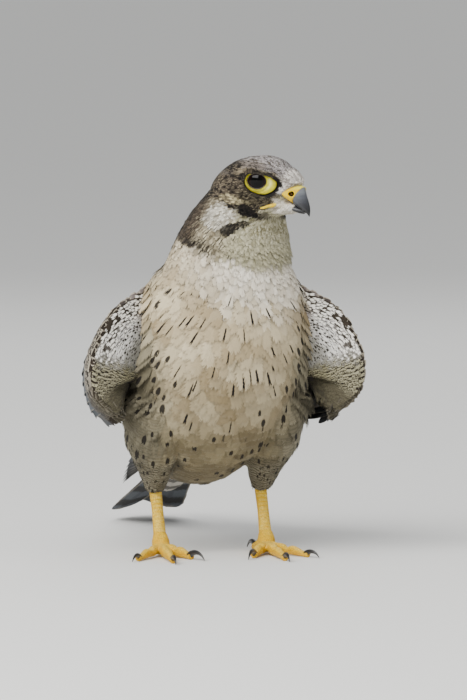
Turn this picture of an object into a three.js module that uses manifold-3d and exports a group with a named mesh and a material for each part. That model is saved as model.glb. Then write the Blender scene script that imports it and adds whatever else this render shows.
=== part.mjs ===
// Peregrine falcon, life size: it stands on both feet with its head turned to its left and its wings dropped
// a little away from the flanks. Millimetres, +Z up. The bird faces -Y, its left side is +X, and the floor is z = 0.
import * as THREE from "three";
import { mergeVertices } from "three/addons/utils/BufferGeometryUtils.js";
import Module from "manifold-3d";

const wasm = await Module();
wasm.setup();

// Driving dimensions
const GAP = 0.3; // between touching pieces
const MIDDLE_Y = 102.6; // from the feet to the middle of the whole bird, which is the origin
const HEAD_AT = [23.5, -50, 267];
const HEAD_TURN = 43; // degrees to the bird's left
const HEAD_NOD = 8; // degrees, bill down
const EYE = { at: [12.1, -4.2, 7.4], radius: 9.6, facing: [0.9, -0.43, -0.06] };
const LID = { opening: 6.6, thick: 1.2, reach: 6.7, lift: 1.4 };
// How far the lids' bare skin reaches from the middle of the eye, every 45 degrees from the front upwards
const LID_REACH = [13.6, 8.6, 8, 8.2, 8.6, 8.8, 10, 14.4];
const FOOT_X = 39;
const ANKLE = [FOOT_X, 27, 51]; // the top of the bare shank
const TOE_ROOT = [FOOT_X, 7, 9];
const SHANK_RADIUS = 4.6;
const WING_LENGTH = 345; // from the front edge of the folded wing to its tip
const ROW = 44; // between the rows that the wing's feathers share
const VANE_THICK = 0.5;
const LAYER = 0.82; // from one overlapping vane to the next
const HAND_LAYER = 1; // the same in the hand, which bends more
const TAIL = { root: [0, 116, 66], length: 178, fall: 17, arch: 0.006 };

const DEGREE = Math.PI / 180;
const X = new THREE.Vector3(1, 0, 0);
const vector = (p) => new THREE.Vector3(...p);
const mix = THREE.MathUtils.lerp;
const smooth = THREE.MathUtils.smoothstep;

// Solids

// A closed geometry as a manifold-3d solid with its faces out.
function solid(geometry) {
  const bare = new THREE.BufferGeometry().setAttribute("position", geometry.getAttribute("position"));
  bare.setIndex(geometry.index);
  const merged = mergeVertices(bare, 1e-4);
  const place = merged.attributes.position.array;
  const corners = new Uint32Array(merged.index.array);
  const [a, b, c] = [0, 1, 2].map(() => new THREE.Vector3());
  let volume = 0;
  for (let i = 0; i < corners.length; i += 3) {
    a.fromArray(place, 3 * corners[i]);
    b.fromArray(place, 3 * corners[i + 1]);
    c.fromArray(place, 3 * corners[i + 2]);
    volume += a.dot(b.cross(c));
  }
  if (volume < 0) {
    for (let i = 0; i < corners.length; i += 3) {
      [corners[i + 1], corners[i + 2]] = [corners[i + 2], corners[i + 1]];
    }
  }
  return new wasm.Manifold(new wasm.Mesh({ numProp: 3, vertProperties: place, triVerts: corners }));
}

// A solid's surface as a geometry.
function surface(made) {
  const mesh = made.getMesh();
  const place = new Float32Array(mesh.numVert * 3);
  for (let i = 0; i < mesh.numVert; i++) {
    place.set(mesh.vertProperties.subarray(i * mesh.numProp, i * mesh.numProp + 3), i * 3);
  }
  const geometry = new THREE.BufferGeometry();
  geometry.setAttribute("position", new THREE.BufferAttribute(place, 3));
  geometry.setIndex(new THREE.BufferAttribute(mesh.triVerts, 1));
  return geometry;
}

const join = (pieces) => pieces.reduce((whole, piece) => whole.add(piece));
const cut = (whole, pieces) => pieces.reduce((left, piece) => left.subtract(piece), whole);
const largest = (made) =>
  made.decompose().reduce((best, piece) => (piece.volume() > best.volume() ? piece : best));

// Keeps what lies on the side of a plane that its normal points to, half a gap off it.
function beyond(made, point, normal) {
  const n = vector(normal).normalize();
  return made.trimByPlane(n.toArray(), n.dot(vector(point)) + GAP / 2);
}

// The other side's copy of a left-hand solid.
const mirrored = (made) => solid(surface(made).scale(-1, 1, 1));

// Moves each vertex of a geometry to where a function of it says.
function shaped(geometry, place) {
  const position = geometry.attributes.position;
  const v = new THREE.Vector3();
  for (let i = 0; i < position.count; i++) {
    place(v.fromBufferAttribute(position, i));
    position.setXYZ(i, v.x, v.y, v.z);
  }
  return geometry;
}

// A smooth tube through stations [x, y, z, half width, rise, fall, turn]: the rise is on the side that X cross
// the path points to, and turn swings the width about Z, in degrees. Upright sections stay in line with Z.
function loft(stations, { sides = 20, rings = 12, grow = 0, power = 2, upright = false } = {}) {
  const through = (pick) => new THREE.CatmullRomCurve3(stations.map((s) => new THREE.Vector3(...pick(s))));
  const path = through((s) => s.slice(0, 3));
  const size = through((s) => s.slice(3, 6));
  const turn = through((s) => [s[6] ?? 0, 0, 0]);
  const across = new THREE.Vector3();
  const rise = new THREE.Vector3();
  return solid(
    shaped(new THREE.CylinderGeometry(1, 1, 1, sides, rings), (v) => {
      const t = 0.5 - v.y;
      const radial = Math.hypot(v.x, v.z);
      const along = path.getTangent(t);
      const s = size.getPoint(t);
      across.copy(X).applyAxisAngle(new THREE.Vector3(0, 0, 1), turn.getPoint(t).x * DEGREE);
      across.addScaledVector(along, -across.dot(along)).normalize();
      if (upright) rise.set(0, 0, 1);
      else rise.crossVectors(across, along);
      const bulge = radial > 0 ? (Math.abs(v.x) ** power + Math.abs(v.z) ** power) ** (-1 / power) : 0;
      const [a, b] = [v.x * bulge, v.z * bulge];
      const end = t < 1e-6 ? -grow : t > 1 - 1e-6 ? grow : 0;
      v.copy(path.getPoint(t)).addScaledVector(along, end);
      v.addScaledVector(across, a * (s.x + grow));
      v.addScaledVector(rise, b * ((b > 0 ? s.y : s.z) + grow));
    }),
  );
}

// A thin closed blade: place gives the point for across in -1..1, along in 0..1 and face +1 or -1, and its rows
// are at the given shares of its length. Both faces are split into triangles alike, so that they never cross.
function blade(place, shares, acrossSteps = 2) {
  const alongSteps = shares.length - 1;
  const [rows, columns] = [shares.length, acrossSteps + 1];
  const points = [];
  for (const face of [1, -1]) {
    for (let i = 0; i < rows; i++) {
      for (let j = 0; j < columns; j++) {
        points.push(...place((2 * j) / acrossSteps - 1, shares[i], face).toArray());
      }
    }
  }
  const at = (i, j, face) => (face > 0 ? 0 : rows * columns) + i * columns + j;
  const index = [];
  for (let i = 0; i < alongSteps; i++) {
    for (let j = 0; j < acrossSteps; j++) {
      for (const face of [1, -1]) {
        const [p, q, r, s] = [at(i, j, face), at(i, j + 1, face), at(i + 1, j + 1, face), at(i + 1, j, face)];
        index.push(...(face > 0 ? [p, q, r, p, r, s] : [p, r, q, p, s, r]));
      }
    }
  }
  const rim = [];
  for (let j = 0; j < acrossSteps; j++) rim.push([0, j]);
  for (let i = 0; i < alongSteps; i++) rim.push([i, acrossSteps]);
  for (let j = acrossSteps; j > 0; j--) rim.push([alongSteps, j]);
  for (let i = alongSteps; i > 0; i--) rim.push([i, 0]);
  rim.forEach(([i, j], k) => {
    const [m, n] = rim[(k + 1) % rim.length];
    index.push(at(i, j, 1), at(i, j, -1), at(m, n, -1), at(i, j, 1), at(m, n, -1), at(m, n, 1));
  });
  const geometry = new THREE.BufferGeometry();
  geometry.setAttribute("position", new THREE.Float32BufferAttribute(points, 3));
  geometry.setIndex(index);
  return solid(geometry);
}

// Head frame: x to the bird's left, y back from the bill, z up, as it stands on the neck
const headFrame = new THREE.Matrix4()
  .makeTranslation(...HEAD_AT)
  .multiply(new THREE.Matrix4().makeRotationZ(HEAD_TURN * DEGREE))
  .multiply(new THREE.Matrix4().makeRotationX(HEAD_NOD * DEGREE));
const onNeck = (made) => solid(surface(made).applyMatrix4(headFrame));

// Trunk, neck and head as one form, which thin cuts part
const TRUNK = [
  [2, -34, 216, 36, 24, 24],
  [1, -30, 199, 54, 34, 35],
  [0, -20, 172, 60, 49, 51],
  [0, -2, 142, 63, 57, 60],
  [0, 28, 112, 55, 54, 57],
  [0, 62, 88, 41, 43, 44],
  [0, 95, 73, 30, 28, 30],
  [0, 122, 64, 21, 15, 15],
  [0, 138, 59, 14, 8, 7],
];
const NECK = [
  [19, -43, 272, 17, 18, 14, 43],
  [16, -38, 258, 29.5, 28, 26, 38],
  [11.5, -34, 242, 38, 32, 34, 24],
  [5.5, -32, 218, 45, 36, 37, 10],
  [3, -28, 194, 54, 38, 38, 0],
  [0, -18, 172, 54, 40, 40, 0],
];
const SKULL = [
  [0, -34.4, 8.6, 4, 2.4, 1],
  [0, -31, 7.8, 7.4, 6.2, 1.4],
  [0, -27.4, 6, 9.8, 10.6, 3],
  [0, -23.4, 2, 12, 16.4, 9],
  [0, -14, 1, 17, 22, 15.5],
  [0, -2, 1, 22.5, 23.5, 19],
  [0, 10, -0.5, 24.5, 22.6, 22],
  [0, 21, -4, 23, 21.5, 22],
  [0, 31, -8, 18.4, 17.6, 20],
  [0, 39, -12, 11, 11.5, 12],
];
const BROW = [
  [17.6, 8, 12.6, 2.4, 1.2, 2],
  [18.6, -2, 15, 4, 2.4, 2.6],
  [17, -11, 14.8, 4, 2.4, 2.6],
  [13, -20, 12.8, 3.4, 2, 2],
  [8.4, -28, 9.8, 1, 0.5, 1],
];

const LID_SIDES = 14;
const BEAK_SIDES = 12;

const facing = vector(EYE.facing).normalize();
const eyeball = (grow) =>
  solid(new THREE.SphereGeometry(EYE.radius + grow, 10, 8).translate(...EYE.at));

const lidEdge = new THREE.CatmullRomCurve3(LID_REACH.map((reach) => new THREE.Vector3(reach, 0, 0)), true);
const lidReach = (angle) => lidEdge.getPoint((angle / (2 * Math.PI) + 1) % 1).x;

// A point off the middle of the lids: an angle from the front upwards, a distance, and a height above them.
function onLids(angle, out, height) {
  const ahead = new THREE.Vector3(0, -1, 0).addScaledVector(facing, facing.y).normalize();
  const above = new THREE.Vector3().crossVectors(ahead, facing);
  return vector(EYE.at)
    .addScaledVector(facing, LID.reach + height)
    .addScaledVector(ahead, Math.cos(angle) * out)
    .addScaledVector(above, Math.sin(angle) * out);
}

// The lids are a ring of bare skin round the eye, drawn out to a blunt point at its front corner.
function lids(grow) {
  const tube = 0.5; // of the ring before it is shaped, as a share of its radius
  return solid(
    shaped(new THREE.TorusGeometry(1, tube, 4, LID_SIDES), (v) => {
      const angle = Math.atan2(v.y, v.x);
      const off = (Math.hypot(v.x, v.y) - 1) / tube;
      const reach = lidReach(angle);
      const corner = smooth(reach, LID_REACH[4], LID_REACH[0]);
      const height = (v.z / tube) * (LID.thick + grow) + LID.lift * corner * Math.max(0, off);
      v.copy(onLids(angle, mix(LID.opening - grow, reach + grow, (1 + off) / 2), height));
    }),
  );
}

// The opening in the plumage over the lids, with their outline.
function lidOpening() {
  const deep = 12; // past the plumage
  return solid(
    shaped(new THREE.CylinderGeometry(1, 1, 1, LID_SIDES, 1), (v) => {
      const angle = Math.atan2(v.z, v.x);
      const out = Math.hypot(v.x, v.z) * (lidReach(angle) + GAP);
      v.copy(onLids(angle, out, (v.y + 0.5) * deep));
    }),
  );
}

// Sections of the bill: the y and z of the upper line, those of the lower line, and the half width
const CERE = [
  [-23.2, 3, -22, -2.6, 11.4],
  [-26.4, 5.6, -24, -4, 10],
  [-30.8, 6.9, -27, -5, 8.2],
  [-35.2, 6.6, -29.6, -6.2, 6.4],
];
const HORN = [
  [-35.2, 6.6, -29.6, -6.2, 6.4],
  [-36, 4.4, -31.2, -7.2, 6],
  [-37.8, 0.6, -33.6, -8.4, 5.3],
  [-40, -3, -36.2, -9.6, 4.3],
  [-41.7, -6.4, -38.9, -10.4, 3],
  [-42.7, -9.8, -41.1, -11.8, 1.7],
  [-43, -13.4, -42.6, -13.5, 0.35],
];
const JAW = [
  [-20, -8, -20, -13, 7.4],
  [-26, -6.8, -26.5, -12, 6.2],
  [-31, -6.8, -31.5, -11.8, 5],
  [-35.4, -7.8, -34.8, -12.4, 3.7],
  [-39, -9.4, -37.8, -12.4, 2],
];
const CHIN = [
  [0, -2, -13, 18, 9, 8],
  [0, -12, -12.4, 14.8, 6.6, 7],
  [0, -21, -11, 11, 4.8, 5],
  [0, -29, -9.6, 6.6, 3, 3.4],
];
const GAPE = [
  [15.8, -11.4, -12, 1, 1.2, 1.2],
  [12.8, -18.8, -8.6, 1.3, 1.4, 1.4],
  [9.4, -25.4, -5.8, 1.3, 1.4, 1.4],
  [6.2, -30, -4, 1.3, 1.3, 1.3],
];
const TOOTH = [
  [2.8, -38, -7, 0.9, 1.4, 1.4],
  [2.6, -38.4, -11.5, 0.5, 0.7, 0.7],
];
const NOSTRIL = { at: [7.6, -30.2, 1], radius: 1.9, tubercle: 0.65, deep: 2.4 };
const RIDGE = 0.22; // how much narrower the bill is towards its upper line

const bothSides = (made) => [made, mirrored(made)];

// A closed tube through a bill's sections, each an oval that narrows towards its upper line.
function beak(sections, grow, rings, power = 2) {
  const through = (pick) => new THREE.CatmullRomCurve3(sections.map((s) => new THREE.Vector3(...pick(s))));
  const upper = through((s) => [0, s[0], s[1]]);
  const lower = through((s) => [0, s[2], s[3]]);
  const width = through((s) => [s[4], 0, 0]);
  return solid(
    shaped(new THREE.CylinderGeometry(1, 1, 1, BEAK_SIDES, rings), (v) => {
      const t = 0.5 - v.y;
      const [a, b] = [upper.getPoint(t), lower.getPoint(t)];
      const rise = a.clone().sub(b);
      const square = (Math.abs(v.x) ** power + Math.abs(v.z) ** power || 1) ** (-1 / power);
      const high = v.z * square * (rise.length() / 2 + grow);
      const wide = v.x * square * (1 - RIDGE * v.z) * (width.getPoint(t).x + grow);
      const back = t < 1e-6 ? grow : t > 1 - 1e-6 ? -grow : 0;
      rise.normalize();
      v.copy(a).add(b).multiplyScalar(0.5).addScaledVector(rise, high).addScaledVector(rise.cross(X), back);
      v.x = wide;
    }),
  );
}

// The bare yellow skin at the root of the bill, with the nostrils and the upper lip of the gape.
function cere(grow) {
  const root = beak(CERE, grow, 4, 2.7);
  const lip = loft(GAPE, { sides: 5, rings: 3, grow });
  const whole = join([root, ...bothSides(lip)]);
  if (grow) return whole;
  const outward = new THREE.Euler(0, 0, -100 * DEGREE);
  const bore = (radius, deep, sides) => {
    const rod = new THREE.CylinderGeometry(radius, radius, deep, sides);
    return solid(rod.applyMatrix4(new THREE.Matrix4().makeRotationFromEuler(outward)).translate(...NOSTRIL.at));
  };
  const ring = bore(NOSTRIL.radius, 2 * NOSTRIL.deep, 8).subtract(bore(NOSTRIL.tubercle, 3 * NOSTRIL.deep, 4));
  return cut(whole, bothSides(ring));
}

const tooth = loft(TOOTH, { sides: 5, rings: 1 });

const horn = (grow) => join([beak(HORN, grow, 7), ...(grow ? [] : bothSides(tooth))]);
const jaw = (grow) => beak(JAW, grow, 5);

const skull = (grow) => loft(SKULL, { sides: 18, rings: 12, grow, power: 2.15, upright: true });
const brow = loft(BROW, { sides: 5, rings: 4 });

function wholeBody(grow) {
  const face = cut(skull(grow), bothSides(lidOpening()));
  const chin = loft(CHIN, { sides: 10, rings: 3, grow, power: 2.4 });
  const head = onNeck(join([face, chin, ...bothSides(brow)]));
  const trunk = loft(TRUNK, { sides: 22, rings: 12, grow, power: 2.1 });
  const neck = loft(NECK, { sides: 20, rings: 8, grow });
  return join([trunk, neck, head]);
}

// Legs, left side

const THIGH = [
  [44, -2, 126, 15, 26, 24],
  [45, 4, 108, 22, 33, 31],
  [43, 12, 88, 21, 28, 28],
  [40.5, 20, 68, 15.5, 19, 19],
  [39.5, 25, 54, 10, 11, 12],
  [FOOT_X, 27, 45, 6.4, 7, 7.6],
];
const TOES = [
  { name: "inner", angle: 27, length: 36, thick: 4.4, claw: 20 },
  { name: "middle", angle: -2, length: 55, thick: 4.2, claw: 17 },
  { name: "outer", angle: -34, length: 42, thick: 3.9, claw: 15 },
  { name: "hind", angle: 172, length: 25, thick: 4.6, claw: 21 },
];

const CLAW = { rise: 43 * DEGREE, bend: 98 * DEGREE, sunk: 3, root: 0.62, tip: 0.3 };

const thigh = (grow) => loft(THIGH, { sides: 12, rings: 6, grow });

// The direction of a toe on the floor: an angle of 0 points ahead, and a positive one towards the other foot.
const toeAhead = (toe) => new THREE.Vector3(-Math.sin(toe.angle * DEGREE), -Math.cos(toe.angle * DEGREE), 0);

// A toe's centre line and thickness: it arches from the root and bulges at each pad.
function toeStations(toe) {
  const ahead = toeAhead(toe);
  const steps = 8;
  return Array.from({ length: steps + 1 }, (_, i) => {
    const t = i / steps;
    const pads = 0.9 + 0.16 * Math.cos(t * Math.PI * (toe.length > 30 ? 6 : 4));
    const thick = toe.thick * mix(1.05, 0.78, t) * pads * (1 - 0.25 * t ** 6);
    const at = vector([TOE_ROOT[0], TOE_ROOT[1], 0]).addScaledVector(ahead, toe.length * t);
    const height = mix(6.2, thick * 0.9, smooth(t, 0, 0.45)) + 1.1 * Math.sin(Math.PI * t);
    return [at.x, at.y, height, thick * 0.92, thick, thick];
  });
}

// A tube round a centre line of stations [x, y, z, radius], for pieces that run any way.
function rod(stations, { sides = 10, rings = 10, grow = 0 } = {}) {
  const path = new THREE.CatmullRomCurve3(stations.map((s) => new THREE.Vector3(...s.slice(0, 3))));
  const size = new THREE.CatmullRomCurve3(stations.map((s) => new THREE.Vector3(s[3], s[4] ?? s[3], 0)));
  const up = new THREE.Vector3(0, 0, 1);
  return solid(
    shaped(new THREE.CylinderGeometry(1, 1, 1, sides, rings), (v) => {
      const t = 0.5 - v.y;
      const along = path.getTangent(t);
      const across = new THREE.Vector3().crossVectors(along, Math.abs(along.z) > 0.95 ? X : up).normalize();
      const rise = new THREE.Vector3().crossVectors(across, along);
      const s = size.getPoint(t);
      const [a, b] = [v.x * (s.x + grow), v.z * (s.y + grow)];
      const end = t < 1e-6 ? -grow : t > 1 - 1e-6 ? grow : 0;
      v.copy(path.getPoint(t)).addScaledVector(across, a).addScaledVector(rise, b).addScaledVector(along, end);
    }),
  );
}

const BALL = [
  [FOOT_X, 10, 15, SHANK_RADIUS + 0.4],
  [FOOT_X, 7, 9, 6.4],
  [FOOT_X, 4, 3, 6],
];

// The toes and the ball of the foot, flat where they rest on the floor.
function foot(grow) {
  const toes = TOES.map((toe) => rod(toeStations(toe), { sides: 6, rings: 5, grow }));
  return join([...toes, rod(BALL, { sides: 7, rings: 2, grow })]).trimByPlane([0, 0, 1], 0);
}

// A claw is a cone that leaves the toe's end, arches over and comes down to the floor.
function claw(toe, grow) {
  const ahead = toeAhead(toe);
  const [x, y, z] = toeStations(toe).at(-1);
  const steps = 6;
  const stations = Array.from({ length: steps + 1 }, (_, i) => {
    const t = i / steps;
    const slope = CLAW.rise - CLAW.bend * t;
    const reach = (toe.claw / CLAW.bend) * (Math.sin(CLAW.rise) - Math.sin(slope)) - CLAW.sunk;
    const height = (toe.claw / CLAW.bend) * (Math.cos(slope) - Math.cos(CLAW.rise));
    const radius = mix(toe.thick * CLAW.root, CLAW.tip, t);
    return [x + ahead.x * reach, y + ahead.y * reach, z + height, radius * 0.85, radius];
  });
  return rod(stations, { sides: 5, rings: 4, grow });
}

const SHANK = [
  [ANKLE[0], ANKLE[1] + 0.5, ANKLE[2] + 4, SHANK_RADIUS + 0.6],
  [ANKLE[0], ANKLE[1], ANKLE[2] - 4, SHANK_RADIUS],
  [FOOT_X, 18, 30, SHANK_RADIUS - 0.4],
  [FOOT_X, 11, 15, SHANK_RADIUS],
];
const shank = (grow) => rod(SHANK, { sides: 9, rings: 5, grow });

// Wing, left side

// The folded wing is laid out on a curved sheet outside the flank. Each row is one cross-section from the edge
// along the back, over the side, to the lower edge. The first row is the leading edge and the last is the tip.
const SHEET = [
  { along: 0, points: [[52, -26, 196], [80, -38, 181], [97, -44, 150], [94, -44, 120], [76, -40, 107]] },
  { along: 50, points: [[42, 16, 184], [76, 6, 163], [91, 2, 136], [88, 0, 112], [79, -2, 100]] },
  { along: 125, points: [[20, 86, 144], [44, 82, 134], [57, 79, 116], [53, 76, 96], [45, 74, 84]] },
  { along: 190, points: [[6, 146, 103], [22, 143, 96], [33, 140, 83], [34, 138, 68], [29, 136, 56]] },
  { along: 265, points: [[4, 218, 72], [14, 216, 69], [24, 214, 61], [30, 212, 51], [30, 210, 43]] },
  { along: WING_LENGTH, points: [[4, 292, 42], [12, 291, 40], [20, 290, 35], [25, 289, 28], [26, 288, 22]] },
];
const sheetRows = SHEET.map((row) => new THREE.CatmullRomCurve3(row.points.map(vector)));
const sheetKnots = SHEET.map((row) => row.along);

// A smooth value between knots, by a cubic through four of them.
function between(knots, values, at) {
  const last = knots.length - 1;
  let i = 0;
  while (i < last - 1 && at > knots[i + 1]) i++;
  const t = (at - knots[i]) / (knots[i + 1] - knots[i]);
  const span = knots[i + 1] - knots[i];
  const slope = (k) => {
    const [lo, hi] = [Math.max(0, k - 1), Math.min(last, k + 1)];
    return values[hi].clone().sub(values[lo]).divideScalar(knots[hi] - knots[lo]);
  };
  const [t2, t3] = [t * t, t * t * t];
  return values[i].clone().multiplyScalar(2 * t3 - 3 * t2 + 1)
    .addScaledVector(slope(i), span * (t3 - 2 * t2 + t))
    .addScaledVector(values[i + 1], 3 * t2 - 2 * t3)
    .addScaledVector(slope(i + 1), span * (t3 - t2));
}

// The point on the wing's sheet at a distance along it and a share across it, lifted off its outer side.
function onSheet(along, across, lift) {
  const at = (s, t) => between(sheetKnots, sheetRows.map((row) => row.getPoint(THREE.MathUtils.clamp(t, 0, 1))), s);
  const step = 0.01;
  const here = at(along, across);
  const [lo, hi] = [Math.max(0, across - step), Math.min(1, across + step)];
  const down = at(along, hi).sub(at(along, lo));
  const back = at(along + 1, across).sub(at(along - 1, across));
  return here.addScaledVector(down.cross(back).normalize(), lift);
}

// How many millimetres the sheet measures across at a distance along it.
function sheetWidth(along) {
  const a = onSheet(along, 0, 0);
  let total = 0;
  for (let i = 1; i <= 6; i++) {
    const b = onSheet(along, i / 6, 0);
    total += a.distanceTo(b);
    a.copy(b);
  }
  return total;
}

// A feather's half width along its length, 1 at the widest.
const featherOutline = (t, blunt) =>
  mix(0.45, 1, smooth(t, 0, 0.3)) * Math.sqrt(Math.max(0, 1 - Math.max(0, (t - 1 + blunt) / blunt) ** 2.2)) + 0.1;

// The same, flat between rows that all feathers share, so that feathers laid over one another don't cross.
function onRows(along, across, lift) {
  const low = ROW * Math.floor(along / ROW);
  return onSheet(low, across, lift).lerp(onSheet(low + ROW, across, lift), (along - low) / ROW);
}

// The shares of a feather's length at which it has rows: the shared ones, and more where its tip rounds off.
function featherRows(from, to, blunt) {
  const shares = [0];
  for (let s = ROW * Math.ceil((from + 8) / ROW); s < mix(to, from, 0.7 * blunt) - 8; s += ROW) {
    shares.push((s - from) / (to - from));
  }
  return [...shares, 1 - 0.7 * blunt, 1];
}

// A feather on the wing's sheet, from root [along, across] to tip [along, across]. Its tilt lifts the lower
// edge, which lies on the next feather.
function wingFeather({ root, tip, wide, lift, tilt = 0, blunt = 0.3, bow = 0 }) {
  return blade((side, t, face) => {
    const along = mix(root[0], tip[0], t);
    const across = mix(root[1], tip[1], t) + bow * Math.sin(Math.PI * t);
    const half = wide * featherOutline(t, blunt);
    const rise = lift + tilt * half * side + (face * VANE_THICK) / 2;
    return onRows(along, THREE.MathUtils.clamp(across + (half * side) / sheetWidth(along), 0, 1), rise);
  }, featherRows(root[0], tip[0], blunt));
}

const series = (count, make) => Array.from({ length: count }, (_, i) => make(i, i / (count - 1)));

// The flight feathers of the hand, from the inner one to the outer one at the lower edge
const PRIMARIES = series(10, (i, k) => ({
  root: [mix(40, 108, k), mix(0.72, 0.86, k)],
  tip: [mix(205, WING_LENGTH - 3, Math.sin((k * Math.PI) / 2) ** 0.85) - (i === 9 ? 12 : 0), mix(0.5, 0.57, k)],
  wide: mix(11.5, 8.6, k),
  lift: -4.7 - i * HAND_LAYER,
  blunt: 0.34,
  bow: mix(0.03, 0.1, k),
}));

const SECONDARIES = series(5, (i, k) => ({
  root: [20, mix(0.68, 0.17, k)],
  tip: [mix(176, 214, k) - (i === 4 ? 16 : 0), mix(0.72, 0.2, k)],
  wide: 15,
  lift: -1.2,
  tilt: 0.15,
  blunt: 0.2,
}));

const GREATER_COVERTS = series(5, (i, k) => ({
  root: [18, mix(0.76, 0.15, k)],
  tip: [mix(104, 138, k), mix(0.75, 0.17, k)],
  wide: 13,
  lift: 2.7,
  tilt: 0.08,
  blunt: 0.26,
}));

const MEDIAN_COVERTS = series(4, (i, k) => ({
  root: [15, mix(0.78, 0.13, k)],
  tip: [mix(68, 92, k), mix(0.77, 0.15, k)],
  wide: 15,
  lift: 5.3,
  tilt: 0.07,
  blunt: 0.4,
}));

const PRIMARY_COVERTS = series(3, (i, k) => ({
  root: [18, mix(0.84, 0.88, k)],
  tip: [mix(104, 148, k), mix(0.79, 0.83, k)],
  wide: 9,
  lift: -1 - i * LAYER,
  blunt: 0.3,
}));

// The outer and inner side of the wing's flesh, as lifts off the sheet at distances along it. The arm is a thick
// rounded leading edge that fills the space to the flank and ends in a step, from which the coverts and secondaries
// grow. The hand is flatter.
const STEP = 31; // where the arm ends and the feathers leave it
const ARM = [
  { along: 0, outer: 1.6, inner: 0.2 },
  { along: 3, outer: 4.2, inner: -9 },
  { along: 11, outer: 6.2, inner: -24 },
  { along: 26, outer: 6.6, inner: -38 },
  { along: STEP, outer: -3.9, inner: -38 },
];
const HAND = [
  { along: STEP + GAP, outer: -3.9, inner: -11.4 },
  { along: 62, outer: -4, inner: -14.4 },
  { along: 118, outer: -4.1, inner: -14.3 },
  { along: 124, outer: -7.5, inner: -10.5 },
];
const SHORT_HAND = 0.35; // how much of the hand's reach there is under the upper feathers
const FLESH_EDGE = 0.02; // the share of the sheet left free at each edge of the flesh

function flesh(sections, across, reach) {
  return solid(
    shaped(new THREE.BoxGeometry(2, 2, 2, across, 2, sections.length - 1), (v) => {
      const share = mix(FLESH_EDGE, 1 - FLESH_EDGE, (v.x + 1) / 2);
      const { along, outer, inner } = sections[Math.round(((v.z + 1) / 2) * (sections.length - 1))];
      const edge = mix(0.3, 1, Math.sqrt(1 - Math.abs(v.x) ** 6));
      const start = sections[0].along;
      const place = start + (along - start) * reach(share);
      const sheet = along < STEP ? onSheet : onRows;
      v.copy(sheet(place, share, outer + ((inner - outer) * (1 - v.y) * edge) / 2));
    }),
  );
}

const arm = () => flesh(ARM, 6, () => 1);
const hand = () => flesh(HAND, 6, (share) => mix(SHORT_HAND, 1, smooth(share, 0.35, 0.6)));
const ON_ARM = [SECONDARIES, GREATER_COVERTS, MEDIAN_COVERTS, PRIMARY_COVERTS].flat();
const armWing = () => join([arm(), ...ON_ARM.map(wingFeather)]);
const handWing = () => join([hand(), ...PRIMARIES.map(wingFeather)]);

// Tail

// The point on the tail's arched sheet: off to the side in millimetres, along from its root, lifted off it.
function onTail(off, along, lift) {
  const fall = TAIL.fall * DEGREE;
  const sag = TAIL.arch * off * off;
  const rise = lift - sag;
  return vector(TAIL.root).add(
    new THREE.Vector3(off, along * Math.cos(fall) + rise * Math.sin(fall), rise * Math.cos(fall) - along * Math.sin(fall)),
  );
}

function tailFeather({ spread, from, to, wide, lift, blunt }) {
  return blade((side, t, face) => {
    const along = mix(from, to, t);
    const off = Math.sin(spread * DEGREE) * along + wide * featherOutline(t, blunt) * side;
    return onTail(off, along, lift + (face * VANE_THICK) / 2);
  }, [0, 0.3, 1 - 0.7 * blunt, 1]);
}

// Both members of each pair, the left one above the right one; inner pairs lie over outer ones.
const pairs = (count, make) =>
  series(count, (i, k) => [1, -1].map((side) => make(side, 2 * i + (side < 0 ? 1 : 0), k))).flat();

const RECTRICES = pairs(6, (side, order, k) => ({
  spread: side * mix(0.9, 6.2, k),
  from: 0,
  to: TAIL.length - 9 * k * k - (side > 0 ? 1 : 0),
  wide: 12,
  lift: -order * LAYER,
  blunt: 0.14,
}));

const UPPER_TAIL_COVERTS = pairs(2, (side, order, k) => ({
  spread: side * mix(3, 12, k),
  from: -4,
  to: 70 - 16 * k - (side > 0 ? 5 : 0),
  wide: 10,
  lift: (4 - order) * LAYER,
  blunt: 0.4,
}));

const UNDER_TAIL_COVERTS = pairs(2, (side, order, k) => ({
  spread: side * mix(3, 9, k),
  from: -4,
  to: 92 - 22 * k - (side > 0 ? 5 : 0),
  wide: 10,
  lift: -(15 - order) * LAYER,
  blunt: 0.4,
}));

const RUMP = [
  [0, -12, -3.5, 21, 12, 13],
  [0, 10, -4, 18.5, 10.5, 11.5],
  [0, 30, -4.3, 15, 10, 10.8],
];

function tail() {
  const core = loft(RUMP, { sides: 12, rings: 2 }).rotate([-TAIL.fall, 0, 0]).translate(TAIL.root);
  return join([core, ...[RECTRICES, UPPER_TAIL_COVERTS, UNDER_TAIL_COVERTS].flat().map(tailFeather)]);
}

// Materials and nodes

const finish = (color, roughness) => new THREE.MeshStandardMaterial({ color, roughness, metalness: 0 });
const MATERIALS = {
  plumagePale: finish(0xd9cfbd, 0.95),
  plumageHead: finish(0x6b665f, 0.95),
  plumageGrey: finish(0x777b7e, 0.9),
  bareSkin: finish(0xe9b93a, 0.6),
  horn: finish(0x434a52, 0.35),
  claw: finish(0x1b1b1d, 0.35),
  eye: finish(0x120a08, 0.08),
};

const bird = new THREE.Group();
bird.position.y = -MIDDLE_Y;

function add(name, made, material) {
  const mesh = new THREE.Mesh(surface(largest(made)), MATERIALS[material]);
  mesh.name = name;
  bird.add(mesh);
}

function addPair(name, made, material) {
  add(name + "_left", made, material);
  add(name + "_right", mirrored(made), material);
}

// Where the neck meets the head and the trunk: a point on each cut, and its normal on the head's side
const NAPE_CUT = { at: [22, -49, 243], normal: [0.3, 0.1, 1] };
const CROP_CUT = { at: [4, -30, 205], normal: [0.05, -0.22, 1] };
const reverse = (normal) => normal.map((x) => -x);

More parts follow.
